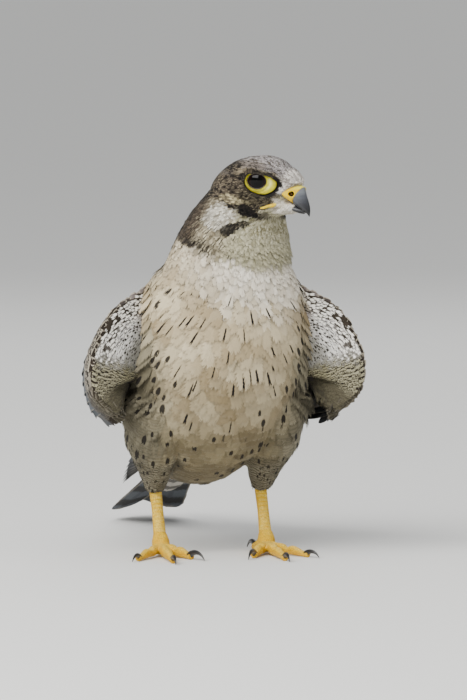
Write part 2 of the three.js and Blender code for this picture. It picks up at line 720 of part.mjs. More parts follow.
const eyes = (grow) => bothSides(eyeball(grow));
const lidPair = (grow) => bothSides(lids(grow));
const headCuts = [...eyes(GAP), ...lidPair(GAP), cere(GAP), horn(GAP), jaw(GAP)].map(onNeck);
const grownBody = wholeBody(GAP);
const bodyRoom = grownBody.add(mirrored(grownBody));
const body = cut(wholeBody(0), headCuts);
const belowHead = beyond(body, NAPE_CUT.at, reverse(NAPE_CUT.normal));

add("head", beyond(body, NAPE_CUT.at, NAPE_CUT.normal), "plumageHead");
add("neck", beyond(belowHead, CROP_CUT.at, CROP_CUT.normal), "plumagePale");
add("torso", beyond(belowHead, CROP_CUT.at, reverse(CROP_CUT.normal)), "plumagePale");

const [eye, lid] = [eyeball(0), lids(0).subtract(eyeball(GAP))];
add("eye_left", onNeck(eye), "eye");
add("eye_right", onNeck(mirrored(eye)), "eye");
add("eyelid_left", onNeck(lid), "bareSkin");
add("eyelid_right", onNeck(mirrored(lid)), "bareSkin");
add("cere", onNeck(cut(cere(0), [horn(GAP), jaw(GAP), ...lidPair(GAP), ...eyes(GAP)])), "bareSkin");
add("bill_upper", onNeck(horn(0).subtract(jaw(GAP))), "horn");
add("bill_lower", onNeck(jaw(0)), "horn");

addPair("wing", cut(armWing(), [bodyRoom, thigh(GAP)]), "plumageGrey");
addPair("primaries", cut(handWing(), [bodyRoom, thigh(GAP)]), "plumageGrey");
add("tail", cut(tail(), [bodyRoom]), "plumageGrey");
addPair("thigh", cut(thigh(0), [bodyRoom, shank(GAP)]), "plumagePale");
addPair("shank", shank(0).subtract(foot(GAP)), "bareSkin");
addPair("foot", cut(foot(0), TOES.map((toe) => claw(toe, GAP))), "bareSkin");
for (const toe of TOES) addPair("claw_" + toe.name, claw(toe, 0), "claw");

export default bird;
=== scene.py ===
# Peregrine falcon, life size, standing on both feet. Shapes are worked out in millimetres in the bird's own frame
# (it faces -Y, its left is +X, the feet are near y = 0) and become metres in the part's frame when meshes are made.
import math
from types import SimpleNamespace
import bpy
import numpy as np
from mathutils import Vector, Matrix, kdtree, noise
from mathutils.bvhtree import BVHTree


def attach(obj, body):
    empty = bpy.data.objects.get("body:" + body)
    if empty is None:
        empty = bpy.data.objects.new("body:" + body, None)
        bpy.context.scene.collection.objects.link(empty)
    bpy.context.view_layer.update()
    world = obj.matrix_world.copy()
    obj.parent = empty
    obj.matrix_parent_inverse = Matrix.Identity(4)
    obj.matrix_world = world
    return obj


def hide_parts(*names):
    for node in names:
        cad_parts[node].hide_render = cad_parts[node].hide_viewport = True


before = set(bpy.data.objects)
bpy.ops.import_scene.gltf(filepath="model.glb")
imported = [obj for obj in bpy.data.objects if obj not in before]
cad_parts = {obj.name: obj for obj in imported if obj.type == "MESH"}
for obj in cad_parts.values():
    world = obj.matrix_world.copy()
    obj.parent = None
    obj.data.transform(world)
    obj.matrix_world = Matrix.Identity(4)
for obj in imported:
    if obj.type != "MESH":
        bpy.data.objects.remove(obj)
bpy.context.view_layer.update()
rng = np.random.default_rng(21)

# Dimensions shared with the part's source
MIDDLE_Y = 102.6
HEAD_AT = (23.5, -50, 267)
HEAD_TURN, HEAD_NOD = 43, 8
EYE_AT, EYE_RADIUS, EYE_FACING = np.array([12.1, -4.2, 7.4]), 9.6, (0.9, -0.43, -0.06)
LID_THICK, LID_PLANE, LID_LIFT = 1.2, 6.7, 1.4
LID_REACH = np.array([14.4, 7.4, 6.9, 7.9, 9, 8.6, 8.9, 11.7])  # every 45 degrees from the front upwards
LID_GAP = (6.7, 5.5)  # half the length and half the height of the opening between the lids
FOOT_X = 39
TOE_ROOT = (FOOT_X, 7)
WING_LENGTH = 345
TRUNK = [
    (2, -34, 216, 36, 24, 24), (1, -30, 199, 54, 34, 35), (0, -20, 172, 60, 49, 51), (0, -2, 142, 63, 57, 60),
    (0, 28, 112, 55, 54, 57), (0, 62, 88, 41, 43, 44), (0, 95, 73, 30, 28, 30), (0, 122, 64, 21, 15, 15),
    (0, 138, 59, 14, 8, 7),
]
NECK = [
    (19, -43, 272, 17, 18, 14, 43), (16, -38, 258, 29.5, 28, 26, 38), (11.5, -34, 242, 38, 32, 34, 24),
    (5.5, -32, 218, 45, 36, 37, 10), (3, -28, 194, 54, 38, 38, 0), (0, -18, 172, 54, 40, 40, 0),
]
SKULL = [
    (0, -34.4, 8.6, 4, 2.4, 1), (0, -31, 7.8, 7.4, 6.2, 1.4), (0, -27.4, 6, 9.8, 10.6, 3), (0, -23.4, 2, 12, 16.4, 9),
    (0, -14, 1, 17, 22, 15.5), (0, -2, 1, 22.5, 23.5, 19), (0, 10, -0.5, 24.5, 22.6, 22), (0, 21, -4, 23, 21.5, 22),
    (0, 31, -8, 18.4, 17.6, 20), (0, 39, -12, 11, 11.5, 12),
]
BROW = [
    (17.6, 8, 12.6, 2.4, 1.2, 2), (18.6, -2, 15, 4, 2.4, 2.6), (17, -11, 14.8, 4, 2.4, 2.6),
    (13, -20, 12.8, 3.4, 2, 2), (8.4, -28, 9.8, 1, 0.5, 1),
]
CHIN = [
    (0, -2, -13, 18, 9, 8), (0, -12, -12.4, 14.8, 6.6, 7), (0, -21, -11, 11, 5.2, 5), (0, -29, -9, 7.4, 4.6, 3.6),
    (0, -33.4, -8.4, 5.2, 3, 2.6),
]
CERE = [
    (-25, 3.4, -24.2, -1, 10.6), (-27, 5.6, -25.4, -3, 9.8), (-30.8, 6.9, -27.6, -4.6, 8.2),
    (-35.2, 6.6, -29.8, -6, 6.4),
]
HORN = [
    (-35.2, 6.6, -29.6, -6.2, 6.4), (-36, 4.4, -31.2, -7.2, 6), (-37.8, 0.6, -33.6, -8.4, 5.3),
    (-40, -3, -36.2, -9.6, 4.3), (-41.7, -6.4, -38.9, -10.4, 3), (-42.7, -9.8, -41.1, -11.8, 1.7),
    (-43, -13.4, -42.6, -13.5, 0.35),
]
JAW = [
    (-20, -8, -20, -13, 7.4), (-26, -6.8, -26.5, -12, 6.2), (-31, -6.8, -31.5, -11.8, 5),
    (-35.4, -7.8, -34.8, -12.4, 3.7), (-39, -9.4, -37.8, -12.4, 2),
]
RIDGE = 0.22
TOOTH = [(2.8, -38, -7, 0.9, 1.4, 1.4), (2.6, -38.4, -11.5, 0.5, 0.7, 0.7)]
NOSTRIL_AT, NOSTRIL_RADIUS, TUBERCLE = np.array([7.6, -30.2, 1]), 1.9, 0.65
THIGH = [
    (44, -2, 126, 15, 26, 24), (45, 4, 108, 22, 33, 31), (43, 12, 88, 21, 28, 28), (40.5, 20, 68, 15.5, 19, 19),
    (39.5, 25, 54, 10, 11, 12), (FOOT_X, 27, 45, 6.4, 7, 7.6),
]
SHANK = [(39, 27.5, 55, 5.2), (39, 27, 47, 4.6), (39, 18, 30, 4.2), (39, 11, 15, 4.6)]
BALL = [(39, 10, 15, 5), (39, 7, 9, 6.4), (39, 4, 3, 6)]
TOES = [("inner", 27, 36, 4.4, 20), ("middle", -2, 55, 4.2, 17), ("outer", -34, 42, 3.9, 15),
        ("hind", 172, 25, 4.6, 21)]
CLAW_RISE, CLAW_BEND, CLAW_SUNK = math.radians(43), math.radians(98), 3
SHEET_ALONG = (0, 50, 125, 190, 265, WING_LENGTH)
SHEET = [
    [(52, -26, 196), (80, -38, 181), (97, -44, 150), (94, -44, 120), (76, -40, 107)],
    [(42, 16, 184), (76, 6, 163), (91, 2, 136), (88, 0, 112), (79, -2, 100)],
    [(20, 86, 144), (44, 82, 134), (57, 79, 116), (53, 76, 96), (45, 74, 84)],
    [(6, 146, 103), (22, 143, 96), (33, 140, 83), (34, 138, 68), (29, 136, 56)],
    [(4, 218, 72), (14, 216, 69), (24, 214, 61), (30, 212, 51), (30, 210, 43)],
    [(4, 292, 42), (12, 291, 40), (20, 290, 35), (25, 289, 28), (26, 288, 22)],
]
ARM = [(0, 1.6, 0.2), (3, 4.2, -9), (11, 6.2, -24), (26, 6.6, -38), (31, -3.9, -38)]
HAND = [(31, -3.9, -11.4), (62, -4, -14.4), (118, -4.1, -14.3), (124, -7.5, -10.5)]
TAIL_ROOT, TAIL_LENGTH, TAIL_FALL, TAIL_ARCH = (0, 116, 66), 178, 17, 0.006
RUMP = [(0, -12, -3.5, 21, 12, 13), (0, 10, -4, 18.5, 10.5, 11.5), (0, 30, -4.3, 15, 10, 10.8)]


# Numbers and vectors
def smooth(x, lo, hi):
    t = np.clip((np.asarray(x, float) - lo) / (hi - lo), 0, 1)
    return t * t * (3 - 2 * t)


def unit(v):
    return v / np.maximum(np.linalg.norm(v, axis=-1, keepdims=True), 1e-9)


def mix(a, b, t):
    return a + (b - a) * t


def dot(a, b):
    return (a * b).sum(-1, keepdims=True)


def flat(v, normal):
    """What is left of a vector on the plane of a normal, made unit length."""
    return unit(v - normal * dot(v, normal))


HEAD_FRAME = np.array(
    Matrix.Translation(HEAD_AT)
    @ Matrix.Rotation(math.radians(HEAD_TURN), 4, "Z")
    @ Matrix.Rotation(math.radians(HEAD_NOD), 4, "X")
)
HEAD_BACK = np.linalg.inv(HEAD_FRAME)
EYE_OUT = unit(np.array(EYE_FACING))
EYE_AHEAD = unit(np.array([0, -1, 0]) + EYE_OUT * EYE_OUT[1])
EYE_ABOVE = np.cross(EYE_AHEAD, EYE_OUT)
SIDES = ((1, "left", np.array([1, 1, 1])), (-1, "right", np.array([-1, 1, 1])))


def to_bird(p):
    return np.asarray(p) @ HEAD_FRAME[:3, :3].T + HEAD_FRAME[:3, 3]


def to_head(p):
    return np.asarray(p) @ HEAD_BACK[:3, :3].T + HEAD_BACK[:3, 3]


# Curves and lofts
def curve(points):
    """A centripetal spline through points, as a function of shares 0 to 1."""
    p = np.array(points, float)
    last = len(p) - 1
    wide = np.vstack([2 * p[0] - p[1], p, 2 * p[-1] - p[-2]])

    def at(t):
        t = np.clip(np.atleast_1d(np.asarray(t, float)), 0, 1) * last
        i = np.minimum(t.astype(int), last - 1)
        w = (t - i)[:, None]
        a, b, c, d = (wide[i + k] for k in range(4))
        e, f, g = (np.linalg.norm(y - x, axis=1, keepdims=True) ** 0.5 for x, y in ((a, b), (b, c), (c, d)))
        f = np.where(f < 1e-4, 1, f)
        e, g = (np.where(step < 1e-4, f, step) for step in (e, g))
        m = ((b - a) / e - (c - a) / (e + f) + (c - b) / f) * f
        n = ((c - b) / f - (d - b) / (f + g) + (d - c) / g) * f
        w2, w3 = w * w, w**3
        return b * (2 * w3 - 3 * w2 + 1) + m * (w3 - 2 * w2 + w) + c * (3 * w2 - 2 * w3) + n * (w3 - w2)

    return at


def tube(rings):
    """A closed shell from rings of points, an array of rings by sides by 3, as vertices and faces."""
    count, sides = rings.shape[:2]
    verts = np.vstack([rings.reshape(-1, 3), rings[0].mean(0), rings[-1].mean(0)])
    i, j = np.meshgrid(np.arange(count - 1), np.arange(sides), indexing="ij")
    k = (j + 1) % sides
    quads = np.stack([i * sides + j, (i + 1) * sides + j, (i + 1) * sides + k, i * sides + k], -1).reshape(-1, 4)
    ring = np.arange(sides)
    after = (ring + 1) % sides
    first, second = count * sides, count * sides + 1
    base = (count - 1) * sides
    caps = [(first, a, b) for a, b in zip(ring, after)] + [(second, base + b, base + a) for a, b in zip(ring, after)]
    return verts, [tuple(q) for q in quads] + caps


def rounded(sides, power):
    """Points round a circle, pushed out towards a square as the power grows above 2."""
    a = np.linspace(0, 2 * np.pi, sides, endpoint=False)
    x, y = np.cos(a), np.sin(a)
    bulge = (np.abs(x) ** power + np.abs(y) ** power) ** (-1 / power)
    return x * bulge, y * bulge


def walked(path, rings):
    """Even shares along a path, with its places and directions there."""
    t = np.linspace(0, 1, rings + 1)
    return t, path(t), unit(path(t + 1e-4) - path(t - 1e-4))


def loft(stations, sides=64, rings=60, power=2.0, upright=False):
    """The same smooth tube as in the part's source, with finer steps."""
    s = np.array([tuple(row) + (0,) * (7 - len(row)) for row in stations], float)
    size, turn = curve(s[:, 3:6]), curve(np.pad(s[:, 6:7], ((0, 0), (0, 2))))
    t, place, along = walked(curve(s[:, :3]), rings)
    angle = np.radians(turn(t)[:, 0])
    across = flat(np.stack([np.cos(angle), np.sin(angle), 0 * angle], 1), along)
    rise = np.broadcast_to([0.0, 0, 1], along.shape) if upright else np.cross(across, along)
    x, y = rounded(sides, power)
    half, up, down = (size(t)[:, k, None] for k in range(3))
    return tube(place[:, None] + across[:, None] * (half * x)[..., None]
                + rise[:, None] * (np.where(y > 0, up, down) * y)[..., None])


def beak(sections, sides=64, rings=60, power=2.0):
    """A tube through a bill's sections: y and z of its upper line, those of its lower line, and its half width."""
    s = np.array(sections, float)
    none = np.zeros(len(s))
    upper, lower = (curve(np.stack([none, s[:, k], s[:, k + 1]], 1)) for k in (0, 2))
    width = curve(np.stack([s[:, 4], none, none], 1))
    t = np.linspace(0, 1, rings + 1)
    a, b = upper(t)[:, None], lower(t)[:, None]
    x, z = rounded(sides, power)
    out = (a + b) / 2 + (a - b) / 2 * z[None, :, None]
    out[..., 0] = x * (1 - RIDGE * z) * width(t)[:, :1]
    return tube(out)


def rod(stations, sides, rings):
    """A tube with an elliptical section: its half width and, where they differ, its half height."""
    s = np.array([tuple(row) + (row[3],) * (5 - len(row)) for row in stations], float)
    size = curve(np.pad(s[:, 3:5], ((0, 0), (0, 1))))
    t, place, along = walked(curve(s[:, :3]), rings)
    up = np.where(np.abs(along[:, 2:]) > 0.95, [[1.0, 0, 0]], [[0, 0, 1.0]])
    across = unit(np.cross(along, up))
    rise = np.cross(across, along)
    x, y = rounded(sides, 2)
    return tube(place[:, None] + across[:, None] * (size(t)[:, :1] * x)[..., None]
                + rise[:, None] * (size(t)[:, 1:2] * y)[..., None])


def moved(shell, change):
    return change(shell[0]), shell[1]


def mirrored(shell):
    return shell[0] * [-1, 1, 1], [tuple(reversed(f)) for f in shell[1]]


def both(shell):
    return [shell, mirrored(shell)]


def sided(shell, side):
    return shell if side > 0 else mirrored(shell)


# Meshes
def placed(verts):
    """Millimetres in the bird's frame to metres in the part's."""
    return (np.asarray(verts, float) - [0, MIDDLE_Y, 0]) * 0.001


show = bpy.context.scene.collection.objects.link


def new_object(name, mesh, slot=None, material=None, replaced=()):
    obj = bpy.data.objects.new(name, mesh)
    show(obj)
    if material:
        mesh.materials.append(material)
    if slot:
        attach(obj, "root")
    if replaced:
        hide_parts(*replaced)
    return obj


def piece(name, mesh, slot, material, share=None, replaced=()):
    """A smooth visible piece. share puts each place between the deepest and the palest tone of the material."""
    mesh.polygons.foreach_set("use_smooth", np.ones(len(mesh.polygons), bool))
    if share is not None:
        layer = mesh.attributes.new("share", "FLOAT", "POINT")
        layer.data.foreach_set("value", np.asarray(share, np.float32))
    return new_object(name, mesh, slot, material, replaced)


def joined(shells):
    """Several shells' places and faces as one."""
    faces, start = [], 0
    for v, f in shells:
        faces += [tuple(int(i) + start for i in face) for face in f]
        start += len(v)
    return np.vstack([v for v, _ in shells]), faces


def joined_mesh(name, shells):
    verts, faces = joined(shells)
    mesh = bpy.data.meshes.new(name)
    mesh.from_pydata(placed(verts).tolist(), [], faces)
    return mesh


def fused(name, shells, voxel, rounds):
    """Overlapping shells made into one smooth skin. The voxel is in millimetres."""
    rough = new_object(name + "_rough", joined_mesh(name + "_rough", shells))
    remesh = rough.modifiers.new("Fuse", "REMESH")
    remesh.mode, remesh.voxel_size, remesh.use_smooth_shade = "VOXEL", voxel * 0.001, True
    relax = rough.modifiers.new("Relax", "SMOOTH")
    relax.factor, relax.iterations = 0.5, rounds
    mesh = bpy.data.meshes.new_from_object(rough.evaluated_get(bpy.context.evaluated_depsgraph_get()))
    mesh.name = name
    bpy.data.objects.remove(rough)
    return mesh


def coordinates(mesh):
    co = np.empty(len(mesh.vertices) * 3)
    mesh.vertices.foreach_get("co", co)
    return co.reshape(-1, 3) * 1000 + [0, MIDDLE_Y, 0]


def set_coordinates(mesh, verts):
    mesh.vertices.foreach_set("co", placed(verts).ravel())
    mesh.update()


def normals(mesh):
    n = np.empty(len(mesh.vertices) * 3)
    mesh.vertex_normals.foreach_get("vector", n)
    return n.reshape(-1, 3)


def paint(mesh, name, values):
    layer = mesh.attributes.new(name, "FLOAT_COLOR", "POINT")
    rgba = np.ones((len(mesh.vertices), 4), np.float32)
    rgba[:, : values.shape[1]] = values
    layer.data.foreach_set("color", rgba.ravel())


# Materials
class Nodes:
    """A material's nodes, built by short calls: each returns the socket it makes."""

    def __init__(self, name):
        self.material = bpy.data.materials.new(name)
        self.material.use_nodes = True
        self.tree = self.material.node_tree
        self.shader = self.tree.nodes["Principled BSDF"]

    def put(self, socket, value):
        if isinstance(value, bpy.types.NodeSocket):
            self.tree.links.new(value, socket)
        else:
            socket.default_value = value

    def set(self, **values):
        for name, value in values.items():
            self.put(self.shader.inputs[name.replace("_", " ")], value)
        return self.material

    def node(self, kind, inputs, **settings):
        """A new node. inputs are in the order of its sockets, or by their names or numbers."""
        node = self.tree.nodes.new("ShaderNode" + kind)
        for name, value in settings.items():
            setattr(node, name, value)
        for key, value in inputs.items() if isinstance(inputs, dict) else enumerate(inputs):
            self.put(node.inputs[key], value)
        return node

    def math(self, operation, *values):
        return self.node("Math", values, operation=operation).outputs[0]

    def times(self, a, b):
        return self.math("MULTIPLY", a, b)

    def scaled(self, value, by, plus):
        return self.math("MULTIPLY_ADD", value, by, plus)

    def step(self, value, lo, hi):
        """0 below lo, 1 above hi, smooth between; the other way round if hi is below lo."""
        ends = (lo, hi, 0.0, 1.0) if lo < hi else (hi, lo, 1.0, 0.0)
        return self.node("MapRange", (value, *ends), interpolation_type="SMOOTHSTEP").outputs[0]

    def mix(self, share, a, b, kind="MIX"):
        node = self.node("Mix", {0: share, 6: a, 7: b}, data_type="RGBA", blend_type=kind, clamp_factor=True)
        return node.outputs[2]

    def grey(self, value):
        return self.node("CombineColor", (value,) * 3).outputs[0]

    def attribute(self, name):
        return self.node("Attribute", (), attribute_name=name).outputs

    def place(self, scale=(1, 1, 1)):
        here = self.node("TexCoord", ()).outputs["Object"]
        return self.node("Mapping", {0: here, "Scale": scale}).outputs[0]

    def noise(self, vector, scale, detail=3.0):
        return self.node("TexNoise", {"Vector": vector, "Scale": scale, "Detail": detail}).outputs[0]

    def bump(self, height, distance, strength):
        relief = self.node("Bump", {"Strength": strength, "Distance": distance, "Height": height})
        self.put(self.shader.inputs["Normal"], relief.outputs[0])

    def ramp(self, share, *stops):
        node = self.node("ValToRGB", (share,))
        elements = node.color_ramp.elements
        while len(elements) < len(stops):
            elements.new(0.5)
        for element, (at, colour) in zip(elements, stops):
            element.position, element.color = at, (*colour, 1)
        return node.outputs[0]


def tone(*screen):
    """A colour given in screen values of 0 to 255, as linear light."""
    v = np.array(screen) / 255
    return np.where(v < 0.04045, v / 12.92, ((v + 0.055) / 1.055) ** 2.4)


def plumage(name):
    """Feathers. Their own map runs across and along each. Their marks are a shaft streak, a drop, bars and a rim."""
    n = Nodes(name)
    own_across, own_along = n.node("SeparateXYZ", n.node("UVMap", (), uv_map="Feather").outputs[:1]).outputs[:2]
    ground, marks, ink = (n.attribute(a) for a in ("ground", "marks", "ink"))
    streak, drop, bars = n.node("SeparateColor", (marks["Color"],)).outputs[:3]
    size = n.math("ADD", ink["Alpha"], 0.6)
    wobble = n.math("SUBTRACT", n.noise(n.place(), 700), 0.5)
    side = n.math("ABSOLUTE", n.scaled(own_across, 2.0, -1.0))
    across, along = n.scaled(wobble, 0.16, side), n.scaled(wobble, 0.1, own_along)
    thin = n.math("SUBTRACT", across, n.times(n.scaled(along, 0.13, -0.02), size))
    shaft = n.times(n.step(thin, 0.07, 0.0), n.times(n.step(along, 0.4, 0.6), n.step(along, 0.99, 0.92)))
    x = n.math("DIVIDE", across, n.times(size, 0.24))
    y = n.math("DIVIDE", n.math("SUBTRACT", along, 0.8), n.times(size, 0.16))
    spot = n.step(n.math("SQRT", n.math("ADD", n.times(x, x), n.times(y, y))), 1.15, 0.8)
    wave = n.math("SINE", n.times(n.scaled(across, 0.06, along), n.math("DIVIDE", 38.0, size)))
    dark = n.math("MAXIMUM", n.times(streak, shaft), n.times(drop, spot))
    dark = n.math("MAXIMUM", dark, n.times(bars, n.step(wave, -0.1, 0.5)))
    colour = n.mix(dark, ground["Color"], ink["Color"])
    rim = n.math("MAXIMUM", n.step(n.scaled(size, -0.13, across), 0.64, 0.77),
                 n.step(n.scaled(size, -0.06, along), 0.83, 0.88))
    pale = n.mix(0.7, ground["Color"], (*tone(214, 204, 184), 1))
    colour = n.mix(n.times(rim, marks["Alpha"]), colour, pale)
    barb = n.math("SINE", n.times(n.scaled(side, -0.3, own_along), 190.0))
    shade = n.times(n.scaled(barb, 0.04, 0.96), n.scaled(n.noise(n.place(), 90), 0.16, 0.92))
    # Painted shade: each feather darkens towards its root, where the feathers lying over it would shade it.
    shade = n.times(shade, n.scaled(n.step(own_along, 0.1, 0.6), 0.2, 0.8))
    n.bump(barb, 0.00012, 0.35)
    return n.set(Base_Color=n.mix(1.0, colour, n.grey(shade), "MULTIPLY"), Roughness=0.8, Specular_IOR_Level=0.14,
                 Sheen_Weight=0.05, Sheen_Roughness=0.5)


def skin_material():
    n = Nodes("plumage_skin")
    shade = n.grey(n.scaled(n.noise(n.place(), 260), 0.3, 0.75))
    n.bump(n.noise(n.place(), 900), 0.0004, 0.5)
    return n.set(Base_Color=n.mix(1.0, n.attribute("ground")["Color"], shade, "MULTIPLY"), Roughness=0.9)


def yellow_skin(name, cell, deep, crease_tone, *tones):
    """Bare yellow skin, pebbled or scaly. Its tones, in screen values, run from the deepest to the palest."""
    n = Nodes(name)
    at = n.place()
    edge = n.node("TexVoronoi", {"Vector": at, "Scale": cell}, feature="DISTANCE_TO_EDGE").outputs["Distance"]
    lit = n.math("ADD", n.attribute("share")["Fac"], n.scaled(n.noise(at, 320, 5), 0.5, -0.25))
    colour = n.ramp(lit, *zip((0.0, 0.1, 0.5, 0.9)[-len(tones):], (tone(*t) for t in tones)))
    n.bump(n.scaled(n.noise(at, 2500), 0.25, n.step(edge, 0.0, 0.22)), deep, 0.8)
    # Painted shade: the crease tone darkens the grooves between the pebbles and scales.
    crease = n.times(n.times(n.step(edge, 0.07, 0.0), n.step(lit, 0.05, 0.2)), 0.7)
    return n.set(Base_Color=n.mix(crease, colour, (*tone(*crease_tone), 1)), Roughness=0.45,
                 Specular_IOR_Level=0.28, Subsurface_Weight=0.12, Subsurface_Radius=(0.004, 0.002, 0.0008))


def horn_material():
    """The bill: blue-grey at its root, slate to black at the tip, with fine growth lines."""
    n = Nodes("bill_horn")
    share = n.math("ADD", n.attribute("share")["Fac"], n.scaled(n.noise(n.place((1, 1, 3)), 240, 5), 0.3, -0.15))
    colour = n.ramp(share, (0.0, tone(112, 116, 120)), (0.25, tone(78, 81, 87)), (0.55, tone(42, 43, 48)),
                    (0.9, tone(16, 16, 18)))
    n.bump(n.noise(n.place((1, 1, 0.25)), 1500), 0.00015, 0.35)
    return n.set(Base_Color=colour, Roughness=n.scaled(n.noise(n.place(), 400), 0.2, 0.3), Coat_Weight=0.15,
                 Coat_Roughness=0.25)


def claw_material():
    n = Nodes("claw_horn")
    colour = n.ramp(n.noise(n.place(), 300, 4), (0.3, (0.007, 0.007, 0.008)), (0.8, (0.03, 0.028, 0.027)))
    n.bump(n.noise(n.place((1, 1, 4)), 900), 0.00015, 0.4)
    return n.set(Base_Color=colour, Roughness=n.scaled(n.noise(n.place(), 500), 0.2, 0.22), Coat_Weight=0.3,
                 Coat_Roughness=0.15)


def eye_material():
    """A nearly black brown iris round a black pupil."""
    n = Nodes("eye_wet")
    share = n.math("ADD", n.attribute("share")["Fac"], n.scaled(n.noise(n.place(), 900, 4), 0.06, -0.03))
    colour = n.ramp(share, (0.0, (0.0004, 0.0004, 0.0004)), (0.5, (0.0006, 0.0005, 0.0004)),
                    (0.62, (0.007, 0.002, 0.001)), (0.85, (0.009, 0.0025, 0.0015)), (1.0, (0.001, 0.0007, 0.0005)))
    return n.set(Base_Color=colour, Roughness=0.1, Specular_IOR_Level=0.17)


# What grows where, as functions of points in the bird's frame
SPINE = np.array([HEAD_AT] + [s[:3] for s in NECK[1:4]] + [s[:3] for s in TRUNK[2:]], float)
SPINE_WAY = unit(np.gradient(SPINE, axis=0))
SPINE_LONG = np.concatenate([[0], np.cumsum(np.linalg.norm(np.diff(SPINE, axis=0), axis=1))])


def beside_spine(p):
    """The spine's direction beside each point, how far along it the point is, and the spine's place there."""
    off = np.linalg.norm(p[:, None] - SPINE[None], axis=2)
    w = np.exp(-((off - off.min(1, keepdims=True)) ** 2) / (2 * 9.0**2))
    w /= w.sum(1, keepdims=True)
    return unit(w @ SPINE_WAY), w @ SPINE_LONG, w @ SPINE


def regions(p):
    """Masks and measures that lengths, directions and colours are worked out from."""
    q = to_head(p)
    way, long, centre = beside_spine(p)
    head = 1 - smooth(np.linalg.norm(q - [0, 4, 0], axis=1), 31, 43)
    back = np.cross([1.0, 0, 0], way)
    dorsal = (unit(p - centre) * unit(back)).sum(1)
    leg = smooth(p[:, 2], 92, 70) * smooth(np.abs(p[:, 0]), 18, 27) * smooth(p[:, 1], 60, 45)
    left = q * np.stack([np.where(q[:, 0] < 0, -1, 1), np.ones(len(q)), np.ones(len(q))], 1)
    return SimpleNamespace(p=p, q=q, left=left, x=left[:, 0], y=q[:, 1], z=q[:, 2], head=head, way=way, long=long,
                           dorsal=dorsal, leg=leg, centre=centre)


def face(r):
    """1 close to the bill and eye, falling to 0 on the crown, nape and throat."""
    return r.head * smooth(r.y, 8, -16) * smooth(r.z, -26, -12)


def above_collar(r):
    """How many millimetres a point is above the edge where the feathers of the neck end over the breast."""
    return r.z + 44.7 - 0.2 * r.y


def round_lids(q):
    """Where points on the head's left are: how far outside the lids, and how high over their plane."""
    v = q - EYE_AT
    a, b = v @ EYE_AHEAD, v @ EYE_ABOVE
    return np.hypot(a, b) - lid_reach(np.arctan2(b, a)), v @ EYE_OUT - LID_PLANE


def lid_reach(angle):
    """The radius of the lids' outline at angles round the eye, by a spline through LID_REACH."""
    at = angle / (2 * np.pi) * 8 % 8
    i = at.astype(int)
    w = at - i
    a, b, c, d = (LID_REACH[(i + k) % 8] for k in (-1, 0, 1, 2))
    return b + 0.5 * w * (c - a + w * (2 * a - 5 * b + 4 * c - d + w * (3 * (b - c) + d - a)))


def lid_gap(angle):
    """The radius of the opening between the lids, an ellipse."""
    return 1 / np.hypot(np.cos(angle) / LID_GAP[0], np.sin(angle) / LID_GAP[1])


def coat_depth(r):
    depth = mix(3.0, 2.2, smooth(r.dorsal, 0, 0.4))
    depth = mix(depth, 2.2, np.maximum(r.leg, smooth(r.long, 60, 20)))
    return mix(depth, mix(1.5, 0.5, face(r)), r.head)


def feather_length(r):
    base = np.interp(r.long, (10, 25, 45, 60, 90, 170), (5.5, 7, 12, 19, 24, 21))
    base = mix(base, 20.0, smooth(r.dorsal, 0.1, 0.5) * smooth(r.long, 50, 90))
    base = mix(base, 13.0, r.leg)
    return mix(base, mix(4.2, 1.8, face(r)), r.head)


def feather_step(r):
    """The distance between neighbouring feathers."""
    return feather_length(r) * mix(0.2, mix(0.24, 0.35, face(r)), r.head)


def flow(r, normal):
    """The lie of the coat: back from the bill over the head, down the neck, and out and in again over the trunk."""
    from_bill = (r.q - [0, -38, 4]) @ HEAD_FRAME[:3, :3].T
    outward = np.interp(r.long, (35, 60, 85, 125, 160, 200), (0.1, 0.5, 0.7, 0.25, -0.2, -0.3))
    aside = np.clip((r.p[:, 0] - r.centre[:, 0]) / 40, -1, 1)
    aside *= np.interp(r.long, (40, 70, 105, 135, 160), (0.2, 0.6, 0.5, 0.2, 0))
    way = r.way + unit(r.p - r.centre) * outward[:, None] + aside[:, None] * np.array([1, 0, 0])
    way = mix(way, np.array([0, 0.45, -0.9]), r.leg[:, None])
    way = mix(way, unit(from_bill), (r.head * 0.95)[:, None])
    return flat(way, normal)


# A light and a dark colour for each part of the plumage, which its pattern goes between. The olive tones of the throat
# and the belly are partly painted shade with a green cast of painted reflected light.
ZONES = {name: (tone(*light), tone(*dark)) for name, light, dark in (
    ("crown", (192, 186, 184), (60, 54, 51)), ("side_crown", (132, 120, 108), (34, 30, 27)),
    ("rear", (50, 45, 40), (15, 13, 11)), ("forehead", (254, 249, 240), (146, 136, 128)),
    ("brow", (150, 136, 112), (24, 20, 18)), ("ear", (92, 82, 69), (29, 25, 22)),
    ("olive", (216, 202, 158), (74, 66, 48)), ("under_eye", (84, 76, 60), (24, 21, 17)),
    ("line", (26, 22, 19), (12, 10, 9)), ("moustache", (30, 26, 22), (8, 7, 6)),
    ("smudge", (34, 30, 26), (12, 10, 9)), ("lores", (255, 250, 240), (178, 168, 146)),
    ("throat", (214, 208, 180), (140, 134, 100)),
    ("cheek", (232, 228, 214), (136, 128, 110)), ("neck", (206, 196, 168), (102, 91, 70)),
    ("nape", (108, 95, 79), (28, 24, 21)), ("breast", (216, 202, 170), (140, 120, 84)),
    ("bib", (255, 250, 238), (226, 214, 192)), ("belly", (152, 140, 109), (94, 84, 61)),
    ("flank", (150, 143, 121), (94, 88, 70)), ("mantle", (92, 97, 104), (62, 65, 71)),
)}
INK, BROWN_INK, PALE_INK = tone(28, 24, 22), tone(60, 52, 46), tone(178, 164, 134)


def grain(p, size, seed):
    """Smooth noise over points, about -1 to 1. size is its scale along each axis, in millimetres."""
    return np.array([noise.noise(Vector(v)) for v in (p / np.array(size) + seed).tolist()])


def another(luck):
    """A second random number from each, which has nothing to do with the first."""
    return luck * 7.31 % 1


